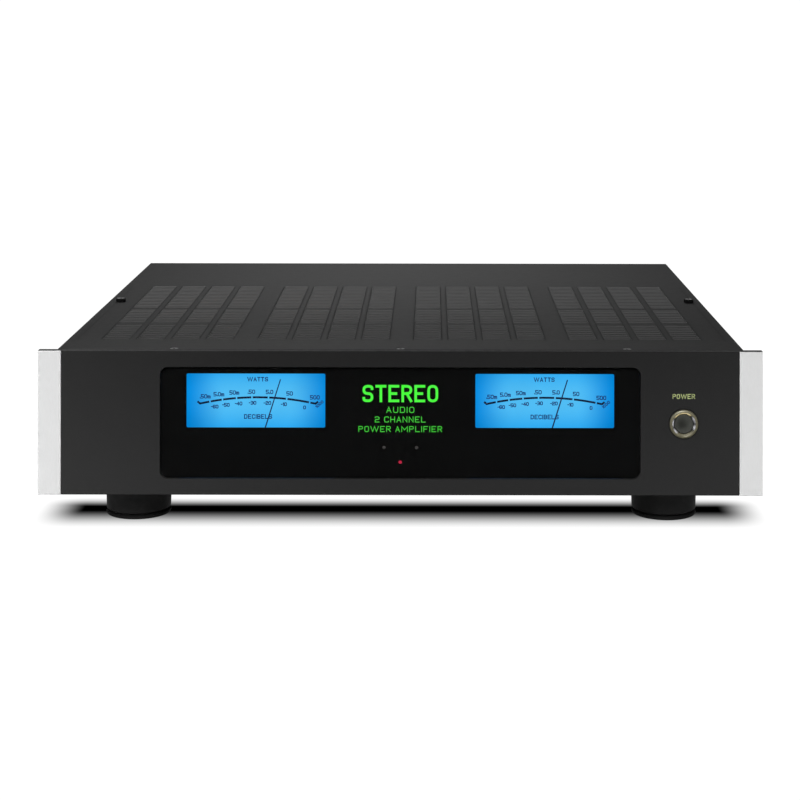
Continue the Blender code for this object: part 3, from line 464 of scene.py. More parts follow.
def softened(points, reach, closed):
    """The same line with each corner swept round within this reach."""
    count = len(points)
    line = []
    for index, point in enumerate(points):
        if not closed and index in (0, count - 1):
            line.append(point)
            continue
        before = points[index - 1] - point
        after = points[(index + 1) % count] - point
        start = point + before.normalized() * min(reach, before.length / 2)
        end = point + after.normalized() * min(reach, after.length / 2)
        for step in range(CORNER_STEPS + 1):
            t = step / CORNER_STEPS
            line.append(start * (1 - t) ** 2 + point * 2 * t * (1 - t) + end * t * t)
    ahead = line[1:] + (line[:1] if closed else [])
    kept = [spot for spot, after in zip(line, ahead) if (spot - after).length > SAME_SPOT]
    return kept if closed else kept + line[-1:]


def lettering(name, text, centre, height, width, stroke, material, turn=0.0, facing=1):
    """Raised letters centred on a point, with their height, total width or None, and stroke width.

    turn leans them in the plane of the panel, in radians. facing is 1 for letters read from the
    front and -1 for letters read from the back.
    """
    strokes = [[line.split() for line in LETTERS[letter].split("|")] for letter in text]
    spans = []
    for lines in strokes:
        columns = [int(spot[0]) for line in lines for spot in line]
        spans.append((min(columns), max(columns)))
    gap = LETTER_GAP if width else NUMBER_GAP
    total = sum(high - low for low, high in spans) + gap * (len(text) - 1)
    row_step = (height - stroke) / LETTER_ROWS
    column_step = (width - stroke) / total if width else row_step
    shape = bmesh.new()
    cursor = -total / 2
    for letter, lines, (low, high) in zip(text, strokes, spans):
        for line in lines:
            spots = [(int(column), int(row)) for column, row in line]
            points = [
                Vector(((cursor + column - low) * column_step, (row - LETTER_ROWS / 2) * row_step))
                for column, row in spots
            ]
            closed = line[0] == line[-1]
            if closed:
                points.pop()
            else:
                points[0] += (points[0] - points[1]).normalized() * stroke / 2
                points[-1] += (points[-1] - points[-2]).normalized() * stroke / 2
            if letter in ROUND_LETTERS and len(line) > 3:
                points = softened(points, CORNER_REACH * row_step, closed)
            if letter != " ":
                ribbon(shape, points, stroke, -INK_RELIEF / 2, INK_RELIEF, closed)
        cursor += high - low + gap
    mesh = mesh_from(shape, name)
    stand = Matrix.Rotation(math.pi if facing < 0 else 0.0, 4, "Z")
    mesh.transform(Matrix.Translation(centre) @ stand @ Matrix.Rotation(turn, 4, "Y"))
    add_piece(name, mesh, material)


MERGE_WITHIN = 0.005 * MM
SMOOTH_LIMIT = 30.0  # degrees


def smooth_by_angle():
    """Geometry nodes that merge split corners and smooth every edge flatter than a limit."""
    tree = bpy.data.node_groups.new("smooth_by_angle", "GeometryNodeTree")
    tree.interface.new_socket("Geometry", in_out="INPUT", socket_type="NodeSocketGeometry")
    tree.interface.new_socket("Geometry", in_out="OUTPUT", socket_type="NodeSocketGeometry")
    add = tree.nodes.new
    start = add("NodeGroupInput")
    merge = add("GeometryNodeMergeByDistance")
    merge.inputs["Distance"].default_value = MERGE_WITHIN
    all_smooth = add("GeometryNodeSetShadeSmooth")
    all_smooth.inputs["Shade Smooth"].default_value = True
    sharp = add("GeometryNodeSetShadeSmooth")
    sharp.domain = "EDGE"
    sharp.inputs["Shade Smooth"].default_value = False
    angle = add("GeometryNodeInputMeshEdgeAngle")
    steep = add("FunctionNodeCompare")
    steep.operation = "GREATER_THAN"
    steep.inputs["B"].default_value = math.radians(SMOOTH_LIMIT)
    end = add("NodeGroupOutput")
    link = tree.links.new
    link(start.outputs[0], merge.inputs["Geometry"])
    link(merge.outputs[0], all_smooth.inputs["Geometry"])
    link(all_smooth.outputs[0], sharp.inputs["Geometry"])
    link(angle.outputs["Unsigned Angle"], steep.inputs["A"])
    link(steep.outputs[0], sharp.inputs["Selection"])
    link(sharp.outputs[0], end.inputs[0])
    return tree


# ---------------------------------------------------------------- finishes of the CAD nodes
BOARD_TOP = 35.6 * MM
RED_GRIP = (0.42, 0.014, 0.012)


def finishes():
    """CAD node, or the start of several nodes' names, to its material."""
    sheet = powder_coat("case_powder_coat", grey(0.030))
    gold = satin_metal("gold_plate", (0.80, 0.55, 0.20), 0.22, (1, 1, 1), metallic=0.6)
    steel = satin_metal("zinc_plate", (0.56, 0.56, 0.53), 0.32, (1, 1, 6))
    black_plastic = moulded("black_plastic", grey(0.016), 0.38)
    table = {
        "chassis_tray": sheet,
        "rear_panel": powder_coat("rear_powder_coat", grey(0.026)),
        "top_cover": cover_enamel(),
        "front_panel": front_enamel(),
        "end_cap_": end_cap_metal(),
        "display_lens": lens_glass(),
        "display_mask": moulded("black_print", grey(0.0019), 0.45, specular=0.03),
        "meter_case_": moulded("white_plastic", (0.70, 0.72, 0.72), 0.45),
        "meter_movement_": steel,
        "meter_bracket": steel,
        # the needle glows faintly with painted backlight
        "meter_pointer_": glowing("needle_painted_glow", (0.0, 0.006, 0.060), (0.001, 0.004, 0.010)),
        "display_board": circuit_board("display_board_resist", PANEL_TOP),
        "power_supply_board": circuit_board("supply_board_resist", BOARD_TOP),
        "amplifier_board": circuit_board("amplifier_board_resist", BOARD_TOP),
        "power_button_bezel": bezel_chrome(),
        "power_button": button_plastic(),
        "power_switch": black_plastic,
        "mains_inlet": black_plastic,
        "fuse_drawer": moulded("fuse_drawer_plastic", grey(0.022), 0.33),
        "phono_inputs": phono_plate(),
        "balanced_input_": satin_metal("black_zinc", grey(0.045), 0.36, (1, 1, 1), metallic=0.7),
        "speaker_post_": gold,
        "speaker_collar_": gold,
        "mains_transformer": transformer_winding(),
        "heatsink": satin_metal("heatsink_aluminium", (0.62, 0.63, 0.64), 0.36, (1, 0.05, 1)),
        "display_ribbon_cable": ribbon_vinyl(),
        "mains_lead": moulded("lead_vinyl", grey(0.02), 0.42),
        "foot_pad_": moulded("foot_rubber", grey(0.007), 0.62, specular=0.2),
        "foot_": foot_plastic(),
        "cover_screw_": black_oxide(),
        "standby_led": glowing("red_led_glow", (0.54, 0.010, 0.046)),
        "status_led_": moulded("dim_led", (0.115, 0.104, 0.104), 0.25),
    }
    for side in SIDES:
        knob = "speaker_knob_" + side
        table[knob + "_plus"] = moulded("red_grip_" + side, RED_GRIP, 0.42, specular=0.25)
        table[knob + "_minus"] = moulded("black_grip_" + side, grey(0.014), 0.42, specular=0.25)
        table["meter_dial_" + side] = dial_glow(side)
    return table


# level at the panel's top middle, and the painted light added at its foot and toward each end
ENAMEL_BASE = 0.0073
ENAMEL_FOOT_LIGHT = 0.0050
ENAMEL_LEFT_LIGHT = 0.0048
ENAMEL_RIGHT_LIGHT = 0.0028
# factors of painted shade on the chamfers and of painted light on faces turned up or aside
ENAMEL_CHAMFER_SHADE = 0.7
ENAMEL_TOP_LIGHT = 1.25


def front_enamel():
    """Black enamel with a fine texture, in painted shade darkest at the top of the middle."""
    g = Graph("front_enamel")
    x, _, z = g.axes()
    # painted light, paler toward the panel's foot and toward each end
    across = g.math("DIVIDE", x, PANEL_HIGH.x)
    fallen = g.share(z, PANEL_TOP, PANEL_LOW.z)
    on_right = g.math("GREATER_THAN", x, 0.0)
    side = g.math("MULTIPLY_ADD", on_right, ENAMEL_RIGHT_LIGHT - ENAMEL_LEFT_LIGHT, ENAMEL_LEFT_LIGHT)
    swell = g.product(across, across, side)
    level = g.math("ADD", g.math("MULTIPLY_ADD", fallen, ENAMEL_FOOT_LIGHT, ENAMEL_BASE), swell)
    fine = g.noise(0.45 * MM, 2.0)
    grain = g.span(fine, 0.3, 0.7, 0.88, 1.12)
    # painted light on faces turned up or aside, painted shade on the chamfers
    frontal = g.math("ABSOLUTE", g.axes(g.normal())[1])
    off_top = g.span(frontal, 0.3, 0.6, ENAMEL_TOP_LIGHT, ENAMEL_CHAMFER_SHADE)
    off_chamfer = g.span(frontal, 0.9, 0.99, 1.0, 1 / ENAMEL_CHAMFER_SHADE)
    tint = g.grey(g.product(level, grain, off_top, off_chamfer))
    return g.surface(
        **{"Base Color": tint, "Specular IOR Level": 0.06},
        Roughness=g.span(g.noise(4 * MM), 0.3, 0.7, 0.54, 0.66),
        Normal=g.bump(fine, 0.03 * MM, 0.7),
    )


def fold(g, value, pitch):
    """Distance from the nearest odd multiple of half the pitch."""
    return g.math("SUBTRACT", pitch / 2, g.math("PINGPONG", value, pitch / 2))


# spacing of the four groups of slots, and of the four columns in each
GROUP_PITCH = 98.9 * MM
COLUMN_PITCH = 21.95 * MM
SLOT_HALF = 8.65 * MM
# distances from a column's middle over which the painted shade line comes and goes
LINE_COMES = (SLOT_HALF, SLOT_HALF + 0.2 * MM)
LINE_GOES = (SLOT_HALF + 0.7 * MM, SLOT_HALF + 1.0 * MM)
# depths from the cover's front edge between which there are painted shade lines
LINES_FROM = 31 * MM
LINES_TO = 246 * MM


def slot_ends(g, x, behind):
    """One on a narrow line past each end of the slots; behind is the depth from the front edge."""
    from_group = fold(g, x, GROUP_PITCH)
    from_column = fold(g, from_group, COLUMN_PITCH)
    return g.product(
        g.span(from_column, *LINE_COMES),
        g.span(from_column, *LINE_GOES, 1.0, 0.0),
        g.math("LESS_THAN", from_group, 2 * COLUMN_PITCH),
        g.math("GREATER_THAN", behind, LINES_FROM),
        g.math("LESS_THAN", behind, LINES_TO),
    )


# least and greatest level of the sheet
COVER_GRAIN = (0.0094, 0.0101)
# share lost to painted shade at the cover's sides, and factor of painted light along its front edge
COVER_SIDE_SHADE = 0.20
COVER_FRONT = 1.16
COVER_FRONT_DEPTH = 70 * MM
# level of the painted shade lines past the slot ends, and depth of the slots' walls
SLOT_END_SHADE = 0.0045
SLOT_DEPTH = 1.45 * MM
# painted light on the slots' walls: levels at the front and further back, and the places of these
# two
SLOT_WALL_LIGHT = (0.040, 0.058)
SLOTS_FROM = 30 * MM
SLOTS_TO = 200 * MM


def cover_enamel():
    """Black enamel, fine grain; painted light on slot walls, painted shade lines past slot ends."""
    low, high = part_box("top_cover")
    g = Graph("cover_enamel")
    fine = g.noise(0.5 * MM, 2.0)
    x, y, z = g.axes()
    # painted shade toward the sides, painted light along the front edge
    across = g.math("DIVIDE", x, high.x)
    sides = g.math("MULTIPLY_ADD", g.product(across, across), -COVER_SIDE_SHADE, 1.0)
    lift = g.span(y, low.y, low.y + COVER_FRONT_DEPTH, COVER_FRONT, 1.0)
    sheet = g.grey(g.product(sides, lift, g.span(fine, 0.35, 0.65, *COVER_GRAIN)))
    # painted shade lines past the slot ends
    tint = g.mix(slot_ends(g, x, g.math("SUBTRACT", y, low.y)), sheet, grey(SLOT_END_SHADE))
    # painted light on the slots' walls
    up = g.axes(g.normal("True Normal"))[2]
    upright = g.math("LESS_THAN", g.math("ABSOLUTE", up), 0.5)
    near_top = g.math("GREATER_THAN", z, high.z - SLOT_DEPTH)
    wall = g.span(y, low.y + SLOTS_FROM, low.y + SLOTS_TO, *SLOT_WALL_LIGHT)
    return g.surface(
        **{
            "Base Color": g.mix(g.product(upright, near_top), tint, g.grey(wall)),
            "Specular IOR Level": 0.085,
        },
        Roughness=g.span(g.noise(4 * MM), 0.3, 0.7, 0.59, 0.61),
        Normal=g.bump(fine, 0.008 * MM, 0.3),
    )


# painted levels of light and shade on the cap's edges: chamfers above and below, sides, top face
CAP_EDGE = 0.43
CAP_SIDE = 0.68
CAP_TOP_SHADE = 0.03
# share of white mixed in at the foot of each cap, as painted light
CAP_LEFT_LIGHT = 0.045
CAP_RIGHT_LIGHT = 0.085


def end_cap_metal():
    """Satin anodised face, upright grain; painted light at its foot, painted shade on its top."""
    g = Graph("satin_silver")
    x, _, z = g.axes()
    streak = g.noise(0.3 * MM, 3.0, g.stretched((1.0, 1.0, 0.08)))
    tint = g.ramp(streak, (0.3, (0.462, 0.464, 0.464)), (0.7, (0.500, 0.502, 0.502)))
    # painted light: white mixed in toward the foot
    fallen = g.share(z, PANEL_TOP, PANEL_LOW.z)
    gain = g.math("MULTIPLY_ADD", g.math("GREATER_THAN", x, 0.0), CAP_RIGHT_LIGHT - CAP_LEFT_LIGHT, CAP_LEFT_LIGHT)
    face = g.mix(g.product(fallen, gain), tint, grey(1.0))
    # painted light and shade on the edges by the way they face
    flat = g.facing_front()
    aside, _, up = g.axes(g.normal())
    cut = g.mix(g.span(g.math("ABSOLUTE", aside), 0.3, 0.6), grey(CAP_EDGE), grey(CAP_SIDE))
    edge = g.mix(g.span(up, 0.85, 0.95), cut, grey(CAP_TOP_SHADE))
    return g.surface(
        **{"Base Color": g.mix(flat, edge, face)},
        Metallic=0.3,
        Roughness=g.math("MULTIPLY_ADD", flat, 0.12, 0.3),
        Normal=g.bump(streak, 0.008 * MM, g.math("MULTIPLY", flat, 0.3)),
    )


def black_oxide():
    """Blackened screw, dark round the side; a dull sheen, worn mottle and painted light on top."""
    g = Graph("black_oxide")
    wear = g.noise(0.8 * MM, 3.0)
    top = g.ramp(wear, (0.35, grey(0.030)), (0.7, grey(0.050)))
    # painted light: faces turned up are paler
    up = g.span(g.axes(g.normal())[2], 0.85, 0.97)
    return g.surface(
        **{"Base Color": g.mix(up, grey(0.003), top), "Specular IOR Level": g.product(up, 0.4)},
        Roughness=g.span(wear, 0.3, 0.7, 0.28, 0.42),
        Normal=g.bump(wear, 0.01 * MM, 0.4),
    )


# painted light, from the side turned inward to the side turned outward
FOOT_LIGHT_LEVELS = ((0.05, grey(0.0050)), (0.5, grey(0.0092)), (0.95, grey(0.0150)))


def foot_plastic():
    """Black moulding with a faint grain, in painted light palest on the side turned outward."""
    g = Graph("foot_plastic")
    # painted light, palest on the side turned outward
    outward = g.product(g.axes(g.normal())[0], g.math("SIGN", g.axes()[0]))
    level = g.ramp(g.half_up(outward), *FOOT_LIGHT_LEVELS)
    cloud = g.span(g.noise(9 * MM, 3.0), 0.3, 0.7, 0.0, 0.25)
    return g.surface(
        **{"Base Color": g.mix(cloud, level, grey(0.0060)), "Specular IOR Level": 0.3},
        Roughness=g.span(g.noise(2.5 * MM), 0.3, 0.7, 0.36, 0.48),
        Normal=g.bump(g.noise(0.5 * MM, 2.0), 0.02 * MM, 0.5),
    )


def round_the_button(g):
    """Places to the right of the button's axis and above it."""
    middle = centre("power_button")
    x, _, z = g.axes()
    return g.math("SUBTRACT", x, middle.x), g.math("SUBTRACT", z, middle.z)


# colours of the painted reflections on the inner slope
BEZEL_DARK = (0.016, 0.016, 0.015)
BEZEL_SILVER = (0.44, 0.44, 0.47)
BEZEL_GOLD = (0.70, 0.59, 0.32)
BEZEL_KHAKI = (0.105, 0.096, 0.062)
# share of the turn from the left, by way of the foot, and the painted reflection met there
BEZEL_STREAKS = (
    (0.00, BEZEL_SILVER),
    (0.05, BEZEL_DARK),
    (0.11, BEZEL_SILVER),
    (0.16, BEZEL_KHAKI),
    (0.36, BEZEL_KHAKI),
    (0.41, BEZEL_DARK),
    (0.45, BEZEL_SILVER),
    (0.50, BEZEL_DARK),
    (0.58, BEZEL_SILVER),
    (0.63, BEZEL_DARK),
    (0.66, BEZEL_GOLD),
    (0.88, BEZEL_GOLD),
    (0.92, BEZEL_DARK),
    (0.97, BEZEL_SILVER),
)


def bezel_chrome():
    """Ring with a worn warm rim; the streaks on its inner slope are painted, not reflected."""
    low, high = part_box("power_button_bezel")
    outer = (high.x - low.x) / 2
    g = Graph("bezel_chrome")
    wear = g.noise(1.2 * MM, 4.0)
    polish = g.ramp(wear, (0.35, (0.088, 0.081, 0.050)), (0.7, (0.112, 0.103, 0.064)))
    dx, dz = round_the_button(g)
    radius = g.length(dx, dz)
    half_turns = g.math("DIVIDE", g.math("ARCTAN2", dz, dx), math.pi)
    rim = g.mix(g.span(radius, outer * 0.93, outer), polish, grey(0.010))
    # painted reflections on the inner slope
    slope = g.ramp(g.half_up(half_turns), *BEZEL_STREAKS)
    inner = g.span(radius, outer * 0.76, outer * 0.83, 1.0, 0.0)
    return g.surface(
        **{"Base Color": g.mix(inner, rim, slope)},
        Metallic=0.25,
        Roughness=g.span(wear, 0.3, 0.8, 0.30, 0.42),
        Normal=g.bump(wear, 0.01 * MM, 0.3),
    )


# offset and colours of the cap's painted shade, from darkest to palest
BUTTON_DARK_OFFSET = 1.2 * MM
BUTTON_DARK = (0.0125, 0.0130, 0.0110)
BUTTON_PALE = (0.0290, 0.0300, 0.0260)


def button_plastic():
    """Olive-grey cap in painted shade, darkest a little to the left of its middle, as if dished."""
    g = Graph("button_cap")
    dx, dz = round_the_button(g)
    away = g.length(g.math("ADD", dx, BUTTON_DARK_OFFSET), dz)
    tint = g.mix(g.span(away, 0.5 * MM, 5.5 * MM), BUTTON_DARK, BUTTON_PALE)
    fine = g.noise(0.4 * MM, 2.0)
    return g.surface(
        **{"Base Color": tint, "Specular IOR Level": 0.15},
        Roughness=g.span(g.noise(2 * MM), 0.3, 0.7, 0.36, 0.48),
        Normal=g.bump(fine, 0.01 * MM, 0.4),
    )


PLATE_THICKNESS = 3 * MM


def phono_plate():
    """Black moulding with nickel shells where the two sockets stand out."""
    g = Graph("phono_plate")
    shell = g.math("GREATER_THAN", g.axes()[1], REAR_Y + PLATE_THICKNESS)
    return g.surface(
        **{
            "Base Color": g.mix(shell, grey(0.018), (0.68, 0.66, 0.60)),
            "Specular IOR Level": 0.15,
        },
        Metallic=g.product(shell, 0.6),
        Roughness=g.span(g.noise(2 * MM), 0.3, 0.7, 0.34, 0.46),
        Normal=g.bump(g.noise(0.6 * MM, 2.0), 0.01 * MM, 0.4),
    )


def dress_cad_nodes():
    """Gives every CAD node its finish and smooth shading across its flat facets."""
    table = finishes()
    smoothing = smooth_by_angle()
    for name, node in NODES.items():
        matches = [
            key for key in table if name == key or (key.endswith("_") and name.startswith(key))
        ]
        node.data.materials.clear()
        node.data.materials.append(table[max(matches, key=len)])
        smooth = node.modifiers.new("Smooth", "NODES")
        smooth.node_group = smoothing


# ---------------------------------------------------------------- dials
# the scale's arc: its rise above the needle's pivot, its radius and its half width
ARC_RISE = 34.7 * MM
ARC_RADIUS = 165 * MM
ARC_HALF = 35.7 * MM
ARC_STROKE = 1.22 * MM
ARC_GAP = 0.9 * MM
ARC_TIP = Vector((1.6 * MM, 1.3 * MM))
# places of the numbers above and below the arc, as shares of the way out from the pivot
UPPER_REACH = 1.10
LOWER_REACH = 0.902
UPPER_HEIGHT = 2.65 * MM
LOWER_HEIGHT = 2.35 * MM
NUMBER_STROKE = 0.50 * MM
WORD_STROKE = 0.52 * MM
DIAL_MIDDLE_RISE = 33.6 * MM
DIAL_CLEARANCE = 0.02 * MM
DIAL_MARKS = (
    # place along the scale in mm, power above it, level below it
    (-29.6, ".50m", "-60"),
    (-21.9, "5.0m", "-50"),
    (-13.2, "50m", "-40"),
    (-3.6, ".50", "-30"),
    (6.6, "5.0", "-20"),
    (17.9, "50", "-10"),
    (32.1, "500", "0"),
)
DIAL_OFFSET = 0.3 * MM


def needle_pivot(side):
    name = "meter_needle_" + side
    joint = next(item for item in frame["joints"] if item["name"] == name)
    return Vector(joint["pos_m"])


def dial_middle(side):
    """The point of the dial behind the middle of its window."""
    pivot = needle_pivot(side)
    return Vector((pivot.x, 0.0, pivot.z + DIAL_MIDDLE_RISE))


def arc_height(x):
    """Height of the scale's arc above the needle's pivot, this far from its middle."""
    return ARC_RISE - ARC_RADIUS + math.sqrt(ARC_RADIUS * ARC_RADIUS - x * x)


def scale_arc(side, origin, ink):
    """The scale's stroke in pieces between its gaps, with a bent tip at each end."""
    shape = bmesh.new()
    middle = Vector((origin.x, origin.z))
    stops = [-ARC_HALF] + [x * MM for x, _, _ in DIAL_MARKS] + [ARC_HALF]
    last = len(stops) - 2
    for index in range(len(stops) - 1):
        start = stops[index] + (ARC_GAP / 2 if index else 0.0)
        end = stops[index + 1] - (ARC_GAP / 2 if index < last else 0.0)
        steps = max(4, int((end - start) / MM))
        line = [start + (end - start) * step / steps for step in range(steps + 1)]
        points = [middle + Vector((x, arc_height(x))) for x in line]
        if index == 0:
            points.insert(0, points[0] + Vector((-ARC_TIP.x, ARC_TIP.y)))
        if index == last:
            points.append(points[-1] + ARC_TIP)
        ribbon(shape, points, ARC_STROKE, origin.y - INK_RELIEF / 2, INK_RELIEF)
    add_piece("dial_arc_" + side, mesh_from(shape, "dial_arc"), ink)


DIAL_WORDS = (
    # name, text, place from the pivot, height and width in mm, stroke, turn
    ("watts", "WATTS", -0.1, 45.9, 2.75, 12.9, WORD_STROKE, 0.0),
    ("decibels", "DECIBELS", 0.2, 22.8, 2.85, 17.4, WORD_STROKE, 0.0),
    ("overload", "1000", 38.2, 30.5, 1.8, 5.8, 0.42 * MM, math.radians(-42)),
)


def dress_dial(side):
    """Prints one dial: its arc, the numbers above and below it, and its words."""
    pivot = needle_pivot(side)
    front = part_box("meter_dial_" + side)[0].y - INK_RELIEF / 2 - DIAL_CLEARANCE
    origin = Vector((pivot.x + DIAL_OFFSET, front, pivot.z))
    ink = moulded("dial_ink_" + side, (0.002, 0.008, 0.030), 0.5, specular=0.1)
    # the numerals and words glow with painted backlight
    blue = glowing("dial_numerals_" + side, (0.0, 0.012, 0.115), (0.001, 0.004, 0.020))
    scale_arc(side, origin, ink)
    for index, (x, upper, lower) in enumerate(DIAL_MARKS):
        mark = Vector((x * MM, 0, arc_height(x * MM)))
        rows = (
            ("upper", upper, UPPER_REACH, UPPER_HEIGHT),
            ("lower", lower, LOWER_REACH, LOWER_HEIGHT),
        )
        for row, text, share, height in rows:
            name = "dial_" + row + "_" + side + "_" + str(index)
            lettering(name, text, origin + mark * share, height, None, NUMBER_STROKE, blue)
    for name, text, x, z, height, width, stroke, turn in DIAL_WORDS:
        place = origin + Vector((x * MM, 0, z * MM))
        label = "dial_" + name + "_" + side
        lettering(label, text, place, height * MM, width * MM, stroke, blue, turn=turn)


# ---------------------------------------------------------------- front lettering
LETTER_GREEN = (0.040, 0.66, 0.026)
FRONT_LINES = (
    # text, drop from the panel's top, height, width and stroke in mm, colour
    ("STEREO", 26.3, 10.6, 46.5, 1.65, (0.055, 0.95, 0.032)),
    ("AUDIO", 36.3, 3.65, 17.2, 0.47, LETTER_GREEN),
    ("2 CHANNEL", 42.2, 3.65, 31.3, 0.47, LETTER_GREEN),
    ("POWER AMPLIFIER", 48.1, 3.6, 51.4, 0.44, LETTER_GREEN),
)
LABEL_RISE = 16.8 * MM
LABEL_HEIGHT = 3.0 * MM
LABEL_WIDTH = 13.75 * MM
LABEL_STROKE = 0.44 * MM


def front_lettering():
    """Lines behind the glass in painted backlight, and the painted word over the button."""
    glass_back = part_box("display_lens")[1].y
    mask_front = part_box("display_mask")[0].y
    y = (glass_back + mask_front) / 2
    for text, drop, height, width, stroke, colour in FRONT_LINES:
        name = "front_" + text.lower().replace(" ", "_")
        # the lines glow with painted backlight
        green = glowing(name + "_glow", colour)
        place = Vector((0, y, PANEL_TOP - drop * MM))
        lettering(name, text, place, height * MM, width * MM, stroke * MM, green)
    middle = centre("power_button")
    place = Vector((middle.x, FACE_Y - INK_RELIEF / 2, middle.z + LABEL_RISE))
    paint = moulded("label_paint", (0.26, 0.30, 0.12), 0.5)
    lettering("power_label", "POWER", place, LABEL_HEIGHT, LABEL_WIDTH, LABEL_STROKE, paint)


REAR_HEIGHT = 2.8 * MM
REAR_STROKE = 0.45 * MM
REAR_WORDS = (
    # text, node it belongs to, rise above that node's middle in mm, width in mm
    ("INPUT R", "balanced_input_right", 18.0, 17.0),
    ("INPUT L", "balanced_input_left", 18.0, 17.0),
    ("AUDIO IN", "phono_inputs", 27.0, 19.0),
    ("MAINS", "mains_inlet", 20.5, 13.0),
    ("+", "speaker_knob_left_plus", 12.5, 2.2),
    ("-", "speaker_knob_left_minus", 12.5, 2.2),
    ("+", "speaker_knob_right_plus", 12.5, 2.2),
    ("-", "speaker_knob_right_minus", 12.5, 2.2),
)


def rear_lettering():
    """Painted words over the sockets and signs over the terminals."""
    paint = moulded("rear_label_paint", grey(0.42), 0.5)
    for text, node, rise, width in REAR_WORDS:
        middle = centre(node)
        place = Vector((middle.x, REAR_Y + INK_RELIEF / 2, middle.z + rise * MM))
        size = (REAR_HEIGHT, width * MM, REAR_STROKE)
        lettering("label_" + node, text, place, *size, paint, facing=-1)


# ---------------------------------------------------------------- stage
CAMERA_X = 0.019
CAMERA_DISTANCE = 1.1085
CAMERA_HEIGHT = 0.3227
LENS = 81.43
SENSOR_WIDTH = 36.0
SHIFT_X = -0.03995
SHIFT_Y = -0.4954
ROLL = math.radians(-0.1)


def make_camera():
    """Level camera at the photo's angle; the shift that frames the photo applies only there."""
    data = bpy.data.cameras.new("camera")
    data.lens = LENS
    data.sensor_width = SENSOR_WIDTH
    camera = bpy.data.objects.new("camera", data)
    camera.location = (CAMERA_X, FACE_Y - CAMERA_DISTANCE, CAMERA_HEIGHT)
    camera.rotation_euler = (math.pi / 2, ROLL, 0)
    SCENE.collection.objects.link(camera)
    SCENE.camera = camera
    at_station(data.driver_add("shift_x").driver, camera, SHIFT_X)
    at_station(data.driver_add("shift_y").driver, camera, SHIFT_Y)
    return camera


STATION_REACH = 0.001


def at_station(driver, camera, amount):
    """Drives a value to the amount while the camera stands where it does now, else to none."""
    for name, channel in (("x", "LOC_X"), ("y", "LOC_Y"), ("z", "LOC_Z")):
        variable = driver.variables.new()
        variable.name = name
        variable.type = "TRANSFORMS"
        target = variable.targets[0]
        target.id = camera
        target.transform_type = channel
        target.transform_space = "WORLD_SPACE"
    place = camera.location
    away = f"abs(x - {place.x:.5f}) + abs(y - ({place.y:.5f})) + abs(z - {place.z:.5f})"
    driver.expression = f"{amount} if {away} < {STATION_REACH} else 0"


FLOOR_HALF = 6.0
FLOOR_WHITE = 1.06
FLOOR_IN_GLOSS = 0.15
# distances behind the panel's face, and from the middle, over which the painted shadow comes and
# goes
SHADOW_BAND_FRONT = (0 * MM, 43 * MM)
SHADOW_BAND_BACK = (52 * MM, 75 * MM)
SHADOW_BAND_ENDS = (202 * MM, 234 * MM)


def make_floor(camera):
    """White table with its natural shadow, except from the camera's own station.

    From there it is painted white, with a soft band of painted shadow under the amplifier's front.
    Glossy surfaces see it as a dim even grey.
    """
    shape = bmesh.new()
    bmesh.ops.create_grid(shape, x_segments=2, y_segments=2, size=FLOOR_HALF)
    mesh = mesh_from(shape, "floor")
    floor = bpy.data.objects.new("floor", mesh)
    SCENE.collection.objects.link(floor)
    g = Graph("floor_white")
    paper = g.noise(4 * MM, 3.0)
    white = g.ramp(paper, (0.3, grey(0.85)), (0.7, grey(0.87)))
    diffuse = g.node("BsdfDiffuse", Color=white).outputs[0]

    # painted shadow: a soft dark band under the amplifier's front
    x, y, _ = g.axes(g.node("NewGeometry").outputs["Position"])
    behind = g.math("SUBTRACT", y, FACE_Y)
    front_half = g.span(behind, *SHADOW_BAND_FRONT)
    back_half = g.span(behind, *SHADOW_BAND_BACK, 1.0, 0.0)
    ends = g.span(g.math("ABSOLUTE", x), *SHADOW_BAND_ENDS, 1.0, 0.0)
    dark = g.product(front_half, back_half, ends)
    level = g.product(g.math("SUBTRACT", 1.0, dark), FLOOR_WHITE)
    swept = g.node("Emission", Color=grey(1.0), Strength=level).outputs[0]
    dim = g.node("Emission", Color=grey(FLOOR_IN_GLOSS), Strength=1.0).outputs[0]

    rays = g.node("LightPath")
    station = g.node("Value")
    at_station(station.outputs[0].driver_add("default_value").driver, camera, 1.0)
    painted = g.product(rays.outputs["Is Camera Ray"], station.outputs[0])
    seen = g.shade(painted, diffuse, swept)
    mesh.materials.append(g.end(g.shade(rays.outputs["Is Glossy Ray"], seen, dim)))


WORLD_FILL = 0.07


def make_world():
    """White where the camera sees it, and a dim even fill elsewhere."""
    world = bpy.data.worlds.new("studio")
    world.use_nodes = True
    SCENE.world = world
    tree = world.node_tree
    tree.nodes.clear()
    rays = tree.nodes.new("ShaderNodeLightPath")
    mixed = tree.nodes.new("ShaderNodeMixShader")
    output = tree.nodes.new("ShaderNodeOutputWorld")
    tree.links.new(rays.outputs["Is Camera Ray"], mixed.inputs["Fac"])
    for slot, strength in ((1, WORLD_FILL), (2, FLOOR_WHITE)):
        sky = tree.nodes.new("ShaderNodeBackground")
        sky.inputs["Color"].default_value = (1, 1, 1, 1)
        sky.inputs["Strength"].default_value = strength
        tree.links.new(sky.outputs[0], mixed.inputs[slot])
    tree.links.new(mixed.outputs[0], output.inputs["Surface"])


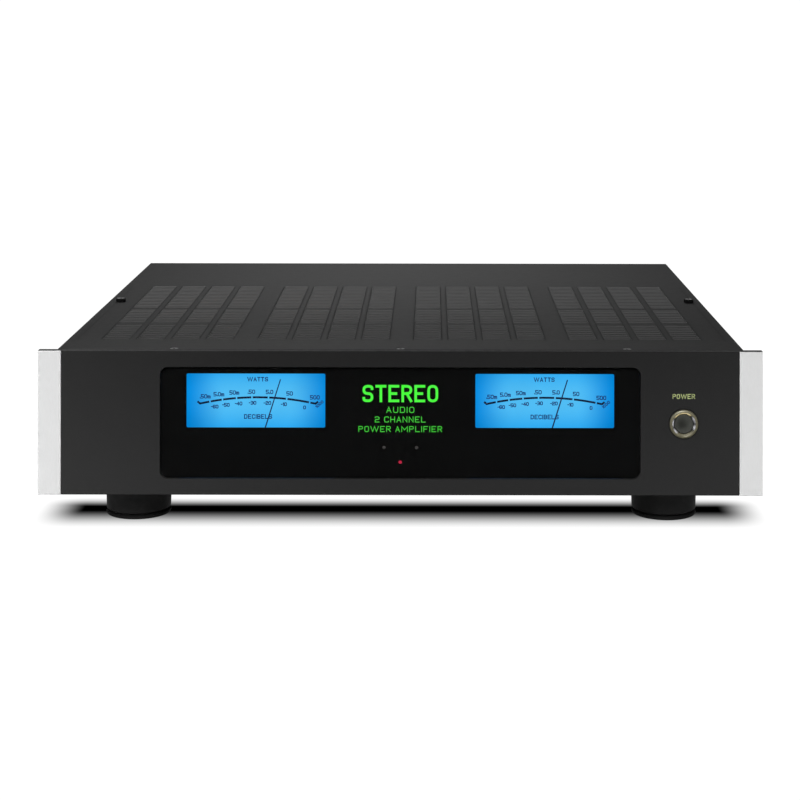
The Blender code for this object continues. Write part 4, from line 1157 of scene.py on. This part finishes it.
SUNS = (
    # name, turns about X, Y and Z in degrees, irradiance, angle, whether gloss shows it
    ("key_sun", (47.0, 0.0, -8.0), 4.3, 36.0, True),
    ("rear_sun", (-58.0, 0.0, 10.0), 1.5, 50.0, False),
    ("left_sun", (55.0, 0.0, -80.0), 0.6, 40.0, False),
    ("right_sun", (55.0, 0.0, 80.0), 0.5, 40.0, False),
)
SOFTBOXES = (
    # name, place and aim from under the middle of the panel's face, width, height, watts, gloss
    ("left_softbox", (-1.5, -0.5, 0.9), (0.0, 0.2, 0.05), 0.9, 0.9, 3.5, True),
    ("right_softbox", (1.5, -0.3, 0.9), (0.0, 0.2, 0.05), 0.9, 0.9, 2.0, True),
    ("rear_top_softbox", (-0.03, 0.36, 0.47), (-0.03, 0.36, 0.0), 0.35, 0.15, 7.0, False),
    ("front_left_softbox", (-0.26, 0.02, 0.42), (-0.26, 0.05, 0.0), 0.20, 0.15, 1.25, False),
)


def make_lights():
    """Soft suns and softboxes; some don't show in glossy surfaces."""
    for name, turn, strength, angle, glossy in SUNS:
        data = bpy.data.lights.new(name, "SUN")
        data.energy = strength
        data.angle = math.radians(angle)
        light = bpy.data.objects.new(name, data)
        light.rotation_euler = [math.radians(value) for value in turn]
        light.visible_glossy = glossy
        SCENE.collection.objects.link(light)
    for name, place, aim, width, height, watts, glossy in SOFTBOXES:
        data = bpy.data.lights.new(name, "AREA")
        data.shape = "RECTANGLE"
        data.size = width
        data.size_y = height
        data.energy = watts
        light = bpy.data.objects.new(name, data)
        light.location = Vector(place) + Vector((0, FACE_Y, 0))
        direction = Vector(aim) - Vector(place)
        light.rotation_euler = direction.to_track_quat("-Z", "Y").to_euler()
        light.visible_camera = False
        light.visible_glossy = glossy
        SCENE.collection.objects.link(light)


# ---------------------------------------------------------------- assembly
SCENE.view_settings.view_transform = "Standard"
SCENE.view_settings.look = "None"
dress_cad_nodes()
for meter_side in SIDES:
    dress_dial(meter_side)
front_lettering()
rear_lettering()
make_floor(make_camera())
make_world()
make_lights()
